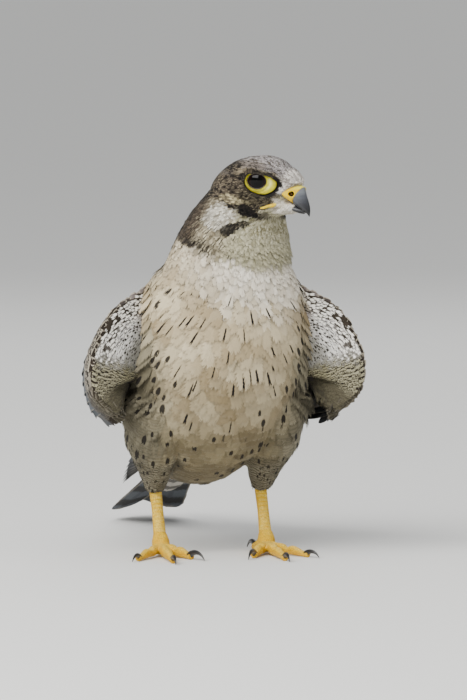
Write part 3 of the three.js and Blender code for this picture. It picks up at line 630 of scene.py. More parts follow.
def colours(r, luck):
    """The ground colour, the strength of each mark, and the ink's colour and size at points. luck is random.

    Each wash lays a zone's two colours over those before it, so the order of washes counts."""
    x, y, z, long, dorsal, head = r.x, r.y, r.z, r.long, r.dorsal, r.head
    second = another(luck)
    jitter, shift = luck - 0.5, second - 0.5
    light, dark = (np.broadcast_to(c, r.p.shape).copy() for c in ZONES["breast"])

    def wash(zone, share):
        for colour, target in zip((light, dark), ZONES[zone]):
            colour += (target - colour) * np.clip(share, 0, 1)[:, None]

    def oval(at_y, at_z, half_long, half_tall, lean=0.0):
        a = math.radians(lean)
        u = (y - at_y) * math.cos(a) + (z - at_z) * math.sin(a)
        v = (z - at_z) * math.cos(a) - (y - at_y) * math.sin(a)
        return 1 - smooth(np.hypot(u / half_long, v / half_tall) + 0.3 * jitter, 0.75, 1.15)

    # Trunk
    side = np.abs(r.p[:, 0] - r.centre[:, 0])
    low, above = smooth(long, 92, 170), smooth(dorsal + 0.16 * jitter, 0.05, 0.35) * (1 - r.leg)
    flank = np.maximum(smooth(side, 32, 54) * smooth(long, 80, 125), r.leg)
    collar = above_collar(r)
    wash("bib", smooth(collar + 14 * jitter, -36, -2) * mix(0.25, 1, smooth(r.p[:, 0], -32, 0)))
    # The belly's olive tones darken the lower body: partly its own buff, partly painted shade with a green cast of
    # painted reflected light.
    wash("belly", low)
    wash("flank", flank)
    wash("mantle", above)
    spotted = smooth(side, 28, 46) * smooth(long, 62, 80) * (1 - 0.5 * low)
    drop = (second < 0.3 * spotted + 0.08 * smooth(long, 115, 150)) * 0.95 * (1 - above)
    streak = (second > 0.91) * smooth(long, 52, 62) * (1 - smooth(long, 135, 165)) * (1 - above)
    bars = np.maximum(0.35 * smooth(long, 150, 200), flank * smooth(long, 110, 150) * 0.3)
    bars = mix(np.maximum(bars, r.leg * 0.75), 0.3 * smooth(long, 90, 150), above)
    rim = mix(0.12, 0.55, above)
    size = np.where(drop > 0, mix(0.2, 0.6, luck), np.where(above > 0.5, 1.0, mix(-0.25, 0.6, luck)))
    # Neck
    up = smooth(collar + 4 * jitter, -2, 3)
    hind = smooth(y + 9 * jitter, 16, 28)
    wash("neck", up)
    # The throat's olive-grey tones are painted shade under the head, with a green cast of painted reflected light, over
    # its own white.
    wash("throat", up * smooth(y, 8, -4))
    wash("cheek", up * oval(11, -19, 11, 8))
    wash("nape", up * hind)
    wash("rear", smooth(dorsal + 0.5 * jitter, -0.25, 0.35) * smooth(long + 30 * shift, 90, 50) * smooth(y, 24, 36))
    # A dark band just above the collar's edge: dark streaks there, deepened as painted shadow under the ruffled edge of
    # the neck's feathers.
    wash("rear", np.exp(-((collar - 4) / 2.6) ** 2) * smooth(y, 4, 12) * smooth(y, 40, 28) * (luck < 0.75) * 0.8)
    streaked = up * smooth(y, -6, 12) * (1 - head)
    streak = np.where(up > 0.5, (second < mix(0.34, 0.5, hind) * streaked) * 0.9, streak)
    size = np.where(up > 0.5, 1.5, size)
    # Head: the cap with its lower edge, the pale and dark patches round the eye and bill, then the lines
    cap_line = np.interp(y, (-24, -20, -17, -13, -8, 0, 8, 15, 27), (-1, -4.5, -8.5, -13, -14.5, -13, -12, -11, -11))
    cap = smooth(z - cap_line + 4 * jitter, -1.6, 1.6)
    top = smooth(z + 3 * jitter, 7, 12)
    wash("ear", cap)
    wash("under_eye", cap * smooth(y, 6, -2) * smooth(z, 1, -2))
    wash("olive", oval(6.5, -8.6, 11, 3.2, 6) * (luck < 0.8))
    wash("lores", smooth(y, -17.5, -20.5) * smooth(z, -2.5, -5) * smooth(z, -16, -12))
    wash("crown", top)
    wash("side_crown", top * smooth(x, 9, 15) * smooth(y, -18, -10) * 0.85)
    wash("rear", np.maximum(top * smooth(y - 0.6 * (z - 12), -1, 11), smooth(y, 22, 30) * smooth(z, -16, -10)))
    wash("brow", smooth(x, 12, 15) * smooth(z, 8, 10) * smooth(z, 16, 13.5) * smooth(y, 12, 6))
    wash("forehead", smooth(y + 0.35 * (z - 8), -18.5, -25) * smooth(z, -1, 2))
    wash("cheek", 0.5 * np.maximum(oval(34, -3, 3.6, 2.2, 20), oval(33, 4, 2.2, 1.5)) * smooth(x, 9, 12))
    before_eye, off_middle = smooth(y, -12, -17), smooth(x, 3, 8)
    eye_line = 1 - smooth(round_lids(r.left)[0] + luck - 2.4 * before_eye, 1.2, 2.2)
    wash("line", eye_line * mix(0.6, 1, before_eye) * smooth(head, 0.4, 0.6))
    # Ovals of colour. The two under_eye ones, below the back and the front of the gape, are painted shadow under the
    # gape. The second line oval, before the eye, is the dark line there deepened as painted shade under the brow. The
    # others are the plumage's own marks.
    for zone, share, *place in (
        ("under_eye", 0.8, -12, -17, 6, 1.8, -32), ("under_eye", 0.55, -20.5, -11.2, 4.5, 1.1, -28),
        ("line", off_middle * 0.85, 5, 8.2, 7, 1.8), ("line", off_middle, -22, 8, 5, 1.5, 40),
        ("moustache", 1, -3.6, -15, 8, 4.2, 26), ("moustache", luck < 0.7, 5, -13, 5, 1.3, 10),
        ("smudge", 0.92 + 0.08 * luck, 0.2, -25.3, 8.2, 2.8, -24),
    ):
        wash(zone, oval(*place) * share)
    # Where the ground lies between a zone's light and dark colour
    fine = grain(r.q, (1.2, 4.2, 1.2), 3.0)
    soft = grain(r.p, (16, 16, 16), 8.0) + 0.22 * grain(r.p, (5, 5, 5), 1.0)
    mottled = smooth(0.9 * fine + mix(0.7, 1.1, top) * shift, -0.55, 0.55)
    near = mix(0.35, 0.65, smooth(fine, -0.6, 0.6)) + mix(0.25, 0.6, smooth(y, -2, 12)) * shift
    pattern = mix(smooth(soft, -1.0, 1.0), near, smooth(long, 64, 40))
    pattern = np.clip(mix(pattern, mottled, head), 0, 1)
    ground = mix(light, dark, pattern[:, None]) * mix(mix(0.97, 1.03, luck), mix(0.9, 1.1, luck), head)[:, None]
    grey = ground.mean(1)
    streak = mix(streak, 0.75 * (luck * 3.7 % 1 < 0.65), head)
    size = mix(size, mix(0.0, 0.5, luck), head)
    drop, bars = (v * (1 - up) * (1 - head) for v in (drop, bars))
    rim = mix(rim, 0.3 * smooth(grey, 0.02, 0.1), head)
    shown = (grey < 0.09) * head * smooth(grey, 0.008, 0.03)
    ink = mix(np.broadcast_to(INK, ground.shape), np.array(BROWN_INK), np.maximum(above, head)[:, None])
    ink = mix(ink, PALE_INK, shown[:, None])
    return ground, np.stack([streak, drop, bars, rim], 1), np.concatenate([ink, size[:, None]], 1)


# Feathers
def tuft(barbs, seed, ragged=0.05, thin=0.85):
    """A small feather, a fan of barbs from a shaft: places (across, along, up), triangles, and the side that shows."""
    random = np.random.default_rng(seed)
    shaft = 0.84  # the share of its length that bears barbs
    half = shaft / (barbs - 1) * thin
    verts, faces = [], []
    for side in (1, -1):
        for f in np.arange(barbs) / (barbs - 1):
            root = 0.02 + shaft * f
            tip_s = 0.2 + 0.8 * math.sin(f * math.pi / 2) ** 1.15 + random.uniform(-ragged, ragged * 0.6)
            tip_w = math.cos(f * math.pi / 2) ** 0.6 * (0.55 + 0.45 * float(smooth(f, 0, 0.3)))
            tip_w = max(0.0, tip_w * (1 + random.uniform(-ragged, ragged)) + random.uniform(0, ragged * 0.3))
            mid_s, mid_w = mix(root, tip_s, 0.6), mix(0.0, tip_w, 0.66)
            start = len(verts)
            verts += [(0, root - half, 0), (0, root + half, 0), (side * mid_w * 1.04, mid_s - half * 0.85, 0),
                      (side * mid_w * 0.96, mid_s + half * 0.85, 0),
                      (side * tip_w, min(tip_s, 1.02), random.uniform(-0.02, 0.05))]
            order = ((0, 1, 3), (0, 3, 2), (2, 3, 4))
            faces += [tuple(start + k for k in (t if side < 0 else t[::-1])) for t in order]
    return np.array(verts, float), np.array(faces, int), np.ones(len(verts))


def spread(share, stations):
    """How much of each station a place along a path takes, by a spline: places by stations."""
    at = np.clip(share, 0, 1) * (stations - 1)
    i = np.minimum(at.astype(int), stations - 2)
    w = at - i
    basis = np.stack([-0.5 * w + w**2 - 0.5 * w**3, 1 - 2.5 * w**2 + 1.5 * w**3, 0.5 * w + 2 * w**2 - 1.5 * w**3,
                      -0.5 * w**2 + 0.5 * w**3], 1)
    weights = np.zeros((len(share), stations))
    rows = np.arange(len(share))
    for k in range(4):
        np.add.at(weights, (rows, np.clip(i + k - 1, 0, stations - 1)), basis[:, k])
    return weights


def lay(template, path, normal, half, camber, twist):
    """A template laid along many paths (feathers by stations by 3): places and normals of every vertex."""
    w, s, up = template[0].T
    half, camber, twist = (v[:, None, None] for v in (half, camber, twist))
    here, before, after = (spread(np.clip(s + shift, 0, 1), path.shape[1]) for shift in (0, -0.02, 0.02))

    def blend(weights, values):
        return np.einsum("vk,nkc->nvc", weights, values)

    along = unit(blend(after - before, path))
    side = unit(np.cross(along, unit(blend(here, normal))))
    out = np.cross(side, along)
    w, up = w[None, :, None], up[None, :, None]
    rise = up * half - camber * w**2 * half + twist * (w * half)
    shade = unit(out + side * (2 * camber * w))
    return blend(here, path) + side * (w * half) + out * rise, shade * template[2][None, :, None]


def feather_mesh(name, template, verts, shade, looks, patch, patch_size):
    """One mesh of many copies of a template. patch is each one's place on the map that textures are baked to."""
    count, each = verts.shape[:2]
    corners = template[1].shape[1]
    faces = (template[1][None] + (np.arange(count) * each)[:, None, None]).reshape(-1, corners)
    mesh = bpy.data.meshes.new(name)
    mesh.vertices.add(count * each)
    mesh.vertices.foreach_set("co", placed(verts.reshape(-1, 3)).ravel())
    mesh.loops.add(faces.size)
    mesh.loops.foreach_set("vertex_index", faces.ravel())
    mesh.polygons.add(len(faces))
    mesh.polygons.foreach_set("loop_start", np.arange(len(faces)) * corners)
    mesh.update(calc_edges=True)
    mesh.polygons.foreach_set("use_smooth", np.ones(len(faces), bool))
    own = template[0][:, :2] * [0.5, 1] + [0.5, 0]
    on_map = patch[:, None] + (own - 0.5)[None] * patch_size
    for layer, values in (("Feather", np.broadcast_to(own, on_map.shape)), ("OFBake", on_map)):
        values = values.reshape(-1, 2)[faces.ravel()]
        mesh.uv_layers.new(name=layer).data.foreach_set("uv", values.astype(np.float32).ravel())
    for layer, values in zip(("ground", "marks", "ink"), looks):
        paint(mesh, layer, np.repeat(values, each, 0))
    mesh.normals_split_custom_set_from_vertices(shade.reshape(-1, 3).tolist())
    return mesh


MOST = 190000  # triangles in one coat piece
PATCH = 0.003  # a small feather's width on the map that textures are baked to


def coat(name, slot, template, path, normal, half, camber, looks, patch=None, twist=0.0, replaced=()):
    """Feathers as coat pieces, split so that none has too many triangles. Without patch each gets a strip of the map.

    looks are the ground, the marks and the ink. They and the numbers are given for each feather or once for all."""
    count, patch_size = len(path), PATCH
    if patch is None:
        patch, patch_size = np.stack([(np.arange(count) + 0.5) / count, np.full(count, 0.5)], 1), 0.9 / count
    half, camber, twist = (np.broadcast_to(v, count) for v in (half, camber, twist))
    looks = [np.broadcast_to(v, (count, np.shape(v)[-1])) for v in looks]
    per = MOST // (len(template[1]) * (template[1].shape[1] - 2))
    for k, start in enumerate(range(0, count, per)):
        part = slice(start, start + per)
        verts, shade = lay(template, path[part], normal[part], half[part], camber[part], twist[part])
        mesh = feather_mesh(name, template, verts, shade, [v[part] for v in looks], patch[part], patch_size)
        new_object(f"{name}_{k + 1}" if count > per else name, mesh, slot, feathers, replaced)


def triangles(mesh):
    mesh.calc_loop_triangles()
    tri = np.empty(len(mesh.loop_triangles) * 3, int)
    mesh.loop_triangles.foreach_get("vertices", tri)
    return tri.reshape(-1, 3)


TRIES, CLOSEST = 2.4, 0.82  # how many places are tried for each feather, and the least distance in feather steps


def scattered(verts, tri):
    """Places where feathers grow, spread over a surface as far apart as feather_step says there."""
    corners = verts[tri]
    r = regions(corners.mean(1))
    area = 0.5 * np.linalg.norm(np.cross(corners[:, 1] - corners[:, 0], corners[:, 2] - corners[:, 0]), axis=1)
    want = area / feather_step(r) ** 2 * TRIES * ~bare(r)
    pick = np.repeat(np.arange(len(tri)), rng.poisson(want))
    rng.shuffle(pick)
    u, v = rng.random(len(pick)), rng.random(len(pick))
    over = u + v > 1
    u[over], v[over] = 1 - u[over], 1 - v[over]
    points = (corners[pick, 0] + (corners[pick, 1] - corners[pick, 0]) * u[:, None]
              + (corners[pick, 2] - corners[pick, 0]) * v[:, None])
    apart = feather_step(regions(points)) * CLOSEST
    tree = kdtree.KDTree(len(points))
    for i, p in enumerate(points):
        tree.insert(p, i)
    tree.balance()
    gone = np.zeros(len(points), bool)
    kept = []
    for i, p in enumerate(points):
        if gone[i]:
            continue
        kept.append(i)
        for _, j, _ in tree.find_range(p, apart[i]):
            gone[j] = True
    return points[kept]


STATIONS = 5  # along the path of a small feather


def combed(surface, start, length, turn):
    """Paths that run over a surface with the lie of the coat, with the surface's normals."""
    here = start.copy()
    path, up = [], []
    way = None
    for _ in range(STATIONS):
        hits = [surface.find_nearest(p) for p in here.tolist()]
        here = np.array([h[0] for h in hits])
        normal = np.array([h[1] for h in hits])
        path.append(here)
        up.append(normal)
        lie = flow(regions(here), normal)
        if way is None:
            lie = lie + np.cross(normal, lie) * turn[:, None]
        way = flat(lie if way is None else 0.5 * way + 0.5 * lie, normal)
        here = here + way * (length / (STATIONS - 1))[:, None]
    return np.stack(path, 1), np.stack(up, 1)


# The body under the feathers
def lid_opening(q):
    """The skull's surface sunk behind the lids, within their outline."""
    q = q.copy()
    for side, _, flip in SIDES:
        outside, height = round_lids(q * flip)
        sunk = np.maximum(0, height + 1.6) * (1 - smooth(outside, 0, 0.8)) * (q[:, 0] * side > 4)
        q -= EYE_OUT * flip * sunk[:, None]
    return q


skull = moved(loft(SKULL, 120, 130, 2.15, upright=True), lid_opening)
face_shells = [moved(s, to_bird) for s in (skull, loft(CHIN, 64, 40, 2.4), *both(loft(BROW, 24, 40)))]
tail_turn = np.array(Matrix.Rotation(math.radians(-TAIL_FALL), 3, "X"))
rump = moved(loft(RUMP, 40, 20), lambda p: p @ tail_turn.T + TAIL_ROOT)
body_shells = [loft(TRUNK, 96, 110, 2.1), loft(NECK, 96, 60), *face_shells, *both(loft(THIGH, 48, 50)), rump]
skin_mesh = fused("skin", body_shells, 1.1, 6)
verts = coordinates(skin_mesh)
verts -= normals(skin_mesh) * coat_depth(regions(verts))[:, None]
set_coordinates(skin_mesh, verts)
body_tris = triangles(skin_mesh)
surface = BVHTree.FromPolygons(verts.tolist(), body_tris.tolist())


# Wings
def sheet(along, across, lift=0.0):
    """Places and outward normals on the left wing's curved sheet, as in the part's source."""
    along, across = np.broadcast_arrays(np.asarray(along, float), np.asarray(across, float))
    knots = np.array(SHEET_ALONG, float)
    rows_at = [curve(points) for points in SHEET]

    def at(a, t):
        values = np.stack([row(t.ravel()) for row in rows_at])
        a = a.ravel()
        i = np.clip(np.searchsorted(knots, a, "right") - 1, 0, len(knots) - 2)
        span = knots[i + 1] - knots[i]
        t = ((a - knots[i]) / span)[:, None]
        cols = np.arange(len(a))

        def slope(k):
            lo, hi = np.maximum(0, k - 1), np.minimum(len(knots) - 1, k + 1)
            return (values[hi, cols] - values[lo, cols]) / (knots[hi] - knots[lo])[:, None]

        t2, t3 = t * t, t**3
        return (values[i, cols] * (2 * t3 - 3 * t2 + 1) + slope(i) * span[:, None] * (t3 - 2 * t2 + t)
                + values[i + 1, cols] * (3 * t2 - 2 * t3) + slope(i + 1) * span[:, None] * (t3 - t2))

    here = at(along, across)
    down = at(along, np.minimum(across + 0.01, 1)) - at(along, np.maximum(across - 0.01, 0))
    back = at(along + 1, across) - at(along - 1, across)
    out = unit(np.cross(down, back))
    lift = np.broadcast_to(np.asarray(lift, float), along.shape).ravel()[:, None]
    return (here + out * lift).reshape(*along.shape, 3), out.reshape(*along.shape, 3)


UNDER_COAT = 3.2  # how far the wing's skin lies inside its feathers


def flesh_edge(across):
    """How thick the flesh is at shares across the wing: it thins towards both edges."""
    return mix(0.3, 1, np.sqrt(1 - np.clip(np.abs((across - 0.02) / 0.48 - 1), 0, 0.995) ** 6))


def flesh(sections, reach):
    """The arm or hand of the left wing as a closed shell."""
    s = np.array(sections, float)
    fine_along = np.interp(np.linspace(0, len(s) - 1, 4 * len(s)), np.arange(len(s)), s[:, 0])
    outer, inner = (np.interp(fine_along, s[:, 0], s[:, k]) + inset
                    for k, inset in ((1, -UNDER_COAT), (2, UNDER_COAT / 2)))
    outer = np.maximum(outer, (outer + inner) / 2 + 0.3)
    fine_along = fine_along + UNDER_COAT * np.exp(-fine_along / 4)
    across = np.linspace(0.035, 0.965, 40)
    edge = flesh_edge(across)
    place = s[0, 0] + (fine_along - s[0, 0])[None] * reach(across)[:, None]
    top, low = (sheet(place, across[:, None], outer + (inner - outer) * edge[:, None] * depth)[0]
                for depth in (0, 0.97))
    return tube(np.concatenate([top, low[:, ::-1]], 1))


arm = flesh(ARM, lambda across: np.ones_like(across))
hand = flesh(HAND, lambda across: mix(0.35, 1, smooth(across, 0.35, 0.6)))
wing_skin = joined_mesh("wing_skin", [*both(arm), *both(hand)])
wing_verts, wing_faces = joined([arm, (arm[0] * [-1, 1, 1], arm[1])])
wing_surface = BVHTree.FromPolygons(wing_verts.tolist(), wing_faces)


def bare(r):
    """Where no feather grows: the lids, the cere and the bill, the lip of the mouth, and the shanks."""
    outside, height = round_lids(r.left)
    eye = (outside < 0.1) & (height < 0.2)
    bill = (r.y < -29.6) & (r.z < 7) & (r.z > -4) | (r.y < -34)
    lip = (r.y < -11.5) & (r.y > -23) & (np.abs(r.z - mix(-12, -8, (r.y + 11.4) / -8)) < 0.9)
    shank = (r.p[:, 2] < 52) & (r.leg > 0.3)
    return (r.head > 0.5) & (eye | bill | lip) | shank


def round_head(q):
    """Places on the unwrapped head."""
    turn, rise = np.arctan2(q[:, 0], q[:, 1]) / (2 * np.pi), np.arcsin(np.clip(unit(q)[:, 2], -1, 1)) / np.pi
    return np.stack([turn + 0.5, rise + 0.5], 1)


# The coat over the body
roots = scattered(verts, body_tris)
r = regions(roots)
luck = rng.random(len(roots))
length = feather_length(r) * rng.uniform(0.85, 1.15, len(roots))
path, up = combed(surface, roots, length, rng.normal(0, 0.11, len(roots)))
share = np.linspace(0, 1, STATIONS)
depth = coat_depth(r) * rng.uniform(0.85, 1.15, len(roots))
ruffled = np.exp(-((above_collar(r) - 7) / 5) ** 2) * (r.dorsal < 0.2) * (r.y < 30)
depth = depth[:, None] * mix(np.sin(share * 1.9) / math.sin(1.9), share, 0.5) + (ruffled * 2.2)[:, None] * share**2
looks = colours(r, luck)
to_wing = np.array([wing_surface.find_nearest(p)[3] for p in roots.tolist()])
reaching = smooth(to_wing, 17, 10) * smooth(roots[:, 1], 30, 10) * (r.dorsal < 0.3) * np.clip(to_wing - 3, 0, 8)
marked = looks[1][:, :2].max(1) * (1 - r.head)
depth = depth + (reaching + marked * length * 0.05)[:, None] * share
path = path + up * (depth - 0.35)[..., None]
half = length * mix(mix(0.3, 0.22, smooth(r.long, 80, 55) * (r.dorsal < 0.2)), 0.24, r.head)
twist = rng.normal(0, 0.07, len(roots))
angle = np.arctan2(*(roots - r.centre)[:, :2].T)
round_body = np.stack([angle / (2 * np.pi) + 0.5, r.long / SPINE_LONG[-1]], 1)
head_rows = r.head > 0.5
patch = np.clip(np.where(head_rows[:, None], round_head(r.q), round_body), 0, 1) * 0.98 + 0.01

feathers = plumage("plumage_feathers")
soft, silky, small, fine = tuft(18, 3, 0.05, 0.98), tuft(11, 4, 0.14, 0.95), tuft(12, 3, 0.06), tuft(6, 5, 0.12)
part_of = np.select([head_rows, r.leg > 0.5, r.dorsal > 0.2, r.long < 75], ["head", "thighs", "back", "neck"], "breast")
for part, template, tint in (
    ("head", fine, "dark"), ("neck", silky, "pale"), ("breast", soft, "pale"), ("back", small, "grey"),
    ("thighs", small, "pale"),
):
    rows = part_of == part
    coat("coat_" + part, "plumage_" + tint, template, path[rows], up[rows], half[rows], 0.12, [v[rows] for v in looks],
         patch[rows], twist[rows])


# Large feathers
def vane(blunt, rows=18, shaft=0.0, seed=1, thick=0.05):
    """A large feather as a closed vane with a raised shaft: places and quads."""
    random = np.random.default_rng(seed)
    s = 1 - (1 - np.linspace(0, 1, rows)) ** 1.5
    tip = np.sqrt(np.maximum(0, 1 - np.maximum(0, (s - 1 + blunt) / blunt) ** 2.2))
    outline = np.maximum(mix(0.45, 1, smooth(s, 0, 0.3)) * tip, 0.03)
    w = np.array([-1, -0.8, -0.55, -0.28, -0.07, 0, 0.07, 0.28, 0.55, 0.8, 1.0])
    w = np.where(w < 0, -1 + (w + 1) * (1 + shaft), 1 - (1 - w) * (1 - shaft))
    ridge = np.exp(-((w - shaft) ** 2) / 0.003)
    ragged = 1 + random.uniform(-0.035, 0.015, (rows, 2))
    edge = np.where(w < 0, ragged[:, :1], ragged[:, 1:])
    grid = np.zeros((2, rows, len(w), 3))
    grid[..., 0] = w * outline[:, None] * np.where(np.abs(w) > 0.9, edge, 1)
    grid[..., 1] = s[:, None] - 0.012 * np.abs(w) * (s[:, None] > 0.9)
    for side, up in ((0, 1), (1, -1)):
        body = thick * 0.5 * (1 - 0.7 * np.abs(w)) + ridge * 0.035 * (up > 0)
        grid[side, ..., 2] = up * body * mix(1, 0.5, s)[:, None]
    top, low = np.arange(grid[..., 0].size).reshape(2, rows, len(w))
    quads = np.stack([np.stack([k[:-1, :-1], k[:-1, 1:], k[1:, 1:], k[1:, :-1]], -1) for k in (top, low)], 2)
    quads[:, :, 1, [1, 3]] = quads[:, :, 1, [3, 1]]
    rim, under = (np.concatenate([k[0, :-1], k[:-1, -1], k[-1, :0:-1], k[:0:-1, 0]]) for k in (top, low))
    around = np.stack([rim, under, np.roll(under, -1), np.roll(rim, -1)], 1)
    return grid.reshape(-1, 3), np.vstack([quads.reshape(-1, 4), around]), np.repeat([1.0, -1.0], top.size)


def turned_over(template):
    return template[0] * [-1, 1, 1], template[1][:, ::-1], template[2]


def on_wings(name, template, root, tip, half, lift, tilt, colour, mark, stations=11, inward=False, bow=0.0, ink=INK):
    """The same feathers on both wings, from roots to tips given as (along, across). lift may be a function."""
    root, tip = np.array(root, float), np.array(tip, float)
    count = len(root)
    t = np.linspace(0, 1, stations)
    along = mix(root[:, :1], tip[:, :1], t)
    across = mix(root[:, 1:], tip[:, 1:], t) + np.broadcast_to(bow, count)[:, None] * np.sin(np.pi * t)
    lifts = lift(along, t) if callable(lift) else np.broadcast_to(np.reshape(lift, (-1, 1)), along.shape)
    place, out = sheet(along, np.clip(across, 0, 1), lifts)
    over = -1 if inward else 1
    looks = np.broadcast_to(colour, (count, 3)) * rng.uniform(0.88, 1.1, (count, 1)), mark, ink
    large = template[1].shape[1] == 4
    patch = None if large else np.stack([across.mean(1), along[:, 0] / WING_LENGTH], 1) * 0.96 + 0.02
    for side, suffix, flip in SIDES:
        coat(f"{name}_{suffix}", "plumage_grey", template if side * over > 0 else turned_over(template), place * flip,
             out * over * flip, half, 0.05, looks, patch, tilt * side * over)


def fan(count, first, last, short=0):
    """Roots and tips side by side. first and last are the outermost feathers' (along, across, along, across)."""
    ends = mix(np.array(first), np.array(last), np.linspace(0, 1, count)[:, None])
    ends[-1, 2] -= short
    return ends[:, :2], ends[:, 2:]


SLATE, PRIMARY = (0.085, 0.097, 0.112), (0.04, 0.043, 0.048)
k = np.linspace(0, 1, 10)
root, tip = fan(10, (40, 0.72, 205, 0.5), (108, 0.86, WING_LENGTH - 4, 0.57))
tip[:, 0] = mix(205, WING_LENGTH - 4, np.sin(k * np.pi / 2) ** 0.85) - 12 * (k > 0.99)
on_wings("primaries", vane(0.34, 22, -0.35), root, tip, mix(11.5, 8.6, k), -4.7 - np.arange(10) * 0.9, 0.0, PRIMARY,
         (0, 0, 0.35, 0.25), bow=mix(0.03, 0.1, k))
on_wings("secondaries", vane(0.22, 18, -0.2), *fan(10, (20, 0.68, 174, 0.72), (20, 0.15, 216, 0.16), 14), 11.5, -1.2,
         0.16, SLATE, (0.5, 0, 0.45, 0.5))
on_wings("greater_coverts", vane(0.3, 14), *fan(11, (18, 0.78, 100, 0.77), (18, 0.12, 138, 0.14)), 8.6, 2.4, 0.12,
         SLATE, (0.6, 0, 0.35, 0.5))
on_wings("median_coverts", vane(0.42, 12), *fan(12, (15, 0.8, 66, 0.79), (15, 0.1, 92, 0.12)), 7.6,
         lambda along, t: 4.9 - 2.6 * smooth(along, 52, 26), 0.12, SLATE, (0.6, 0, 0.2, 0.55))
on_wings("primary_coverts", vane(0.34, 14, -0.2), *fan(8, (18, 0.82, 96, 0.77), (50, 0.9, 168, 0.8)),
         np.linspace(8.5, 7, 8), -0.8 - np.arange(8) * 0.5, 0.0, PRIMARY, (0, 0, 0.2, 0.4))
on_wings("bastard_wing", vane(0.35, 12, -0.2), *fan(3, (14, 0.88, 58, 0.87), (17, 0.93, 82, 0.9)), 6.5,
         2.0 - np.arange(3) * 0.7, 0.0, PRIMARY, (0, 0, 0.2, 0.6))

INNER = np.array([(31, -10.8), (62, -12.8), (130, -12.8)])
root, tip = [], []
for row, along in enumerate(np.arange(33, 100, 5.4)):
    count, length = 12, mix(12, 22, (along - 33) / 67)
    across = 0.42 + (np.arange(count) + 0.5 * (row % 2) + rng.uniform(-0.15, 0.15, count)) * 0.54 / count
    start = along + rng.uniform(-0.8, 0.8, count)
    root += list(zip(start, across))
    tip += list(zip(start + length * rng.uniform(0.9, 1.1, count), across + rng.normal(0, 0.006, count)))
on_wings("underwing_coverts", small, root, tip, 5.2, lambda along, t: np.interp(along, *INNER.T) + 0.6 - 1.6 * t, 0.0,
         tone(150, 148, 142), (0.3, 0, 0.8, 0.4), stations=5, inward=True, ink=(*tone(70, 66, 62), 0.5))

# The rounded front of the wing: a line round its leading edge, from the back of the arm's outer side at distances
# below 0 to its inner side, which faces the breast
FRONT = [(70, 5.7), (26, 5.7), (11, 5.3), (3, 3.6), (-0.6, 0.6), (3, -8.4), (11, -23.2), (26, -37), (31, -38)]
front_line = curve([(a, b, 0) for a, b in FRONT])(np.linspace(0, 1, 400))[:, :2]
front_long = np.concatenate([[0], np.cumsum(np.linalg.norm(np.diff(front_line, axis=0), axis=1))])
front_long -= front_long[front_line[:, 0].argmin()]
LOBE_ACROSS = 118  # millimetres over the leading edge


def on_front(s, across):
    """Places on the rounded front of the left wing."""
    along, lift = (np.interp(s, front_long, front_line[:, k]) for k in (0, 1))
    outer = np.interp(along, [row[0] for row in ARM[:4]], [row[1] for row in ARM[:4]])
    lift = np.where(s > 0, outer + (lift - outer) * flesh_edge(np.clip(across, 0.02, 0.98)), lift)
    return sheet(along, np.clip(across, 0, 1), lift)[0]


def washed(colour, *washes):
    """A colour with others washed over it, each given with its share at every feather."""
    ground = tone(*colour)
    for colour, share in washes:
        ground = mix(ground, tone(*colour), np.clip(share, 0, 1)[:, None])
    return ground


ASTRAY, DEEPEST = 0.35, 2.5  # shift from the even grid, in its steps, and the greatest depth of a root in the body


def wing_front(name, template, first, last, apart, wide, lengths, widths, lifts, tones_and_marks):
    """Small feathers over the rounded front of both wings. lengths and widths are tables over the distance s."""
    s, across = np.meshgrid(np.arange(first, last, apart), np.arange(0.005, 0.99, wide / LOBE_ACROSS), indexing="ij")
    across = across + wide / LOBE_ACROSS / 2 * (np.arange(len(s)) % 2)[:, None]
    s = (s + rng.uniform(-ASTRAY, ASTRAY, s.shape) * apart).ravel()
    across = (across + rng.uniform(-ASTRAY, ASTRAY, across.shape) * wide / LOBE_ACROSS).ravel()
    outside_body = np.ones(len(s), bool)
    for i, place in enumerate(on_front(s, across).tolist()):
        hit, normal, *_ = surface.find_nearest(place)
        outside_body[i] = (Vector(place) - hit).dot(normal) > -DEEPEST
    s, across = s[outside_body], across[outside_body]
    luck = rng.random(len(s))
    length = np.interp(s, *lengths) * rng.uniform(0.88, 1.12, len(s)) * mix(1, 1.35, smooth(across, 0.45, 0.6))
    angle = np.radians(np.interp(s, (-20, -5, 3, 45), (176, 146, 112, 96)) + rng.normal(0, 5, len(s)))
    t = np.linspace(0, 1, STATIONS)
    along_front = s[:, None] + (length * np.cos(angle))[:, None] * t
    over_front = across[:, None] + (length * np.sin(angle))[:, None] * t / LOBE_ACROSS
    path = on_front(along_front, over_front)
    up = unit(np.cross(on_front(along_front + 0.5, over_front) - on_front(along_front - 0.5, over_front),
                       on_front(along_front, over_front + 0.01) - on_front(along_front, over_front - 0.01)))
    lift = mix(*lifts, t) * rng.uniform(0.85, 1.15, (len(s), 1)) - 0.9 * smooth(s, 6, 0)[:, None]
    path = path + up * lift[..., None]
    looks = tones_and_marks(s, across, luck)
    patch = np.stack([over_front[:, 2] * 0.96 + 0.02, (s + 40) / 90], 1)
    for _, suffix, flip in SIDES:
        coat(f"{name}_{suffix}", "plumage_pale", template, path * flip, up * flip, length * np.interp(s, *widths),
             0.1, looks, patch)


def edge_tones(s, across, luck):
    """Dark brown feathers with pale fringes, lilac grey at the shoulder."""
    lilac = smooth(across + 0.05 * (luck - 0.5), 0.17, 0.07) * 0.9 * smooth(s, -20, -8)
    # The olive-brown low on the front of the edge is darkened as painted shade, as lower down on the lobe.
    ground = washed((84, 86, 90), ((46, 39, 33), smooth(s, -28, -12)), ((132, 122, 118), lilac),
                    ((74, 69, 56), smooth(across, 0.62, 0.8) * smooth(s, -14, -4)))
    rim = mix(0.85, 0.2, smooth(across, 0.55, 0.75)) * mix(0.35, 1, smooth(s, -34, -16))
    return ground * mix(0.85, 1.1, luck)[:, None], rim[:, None] * [0, 0, 0, 1], (*INK, -0.6)


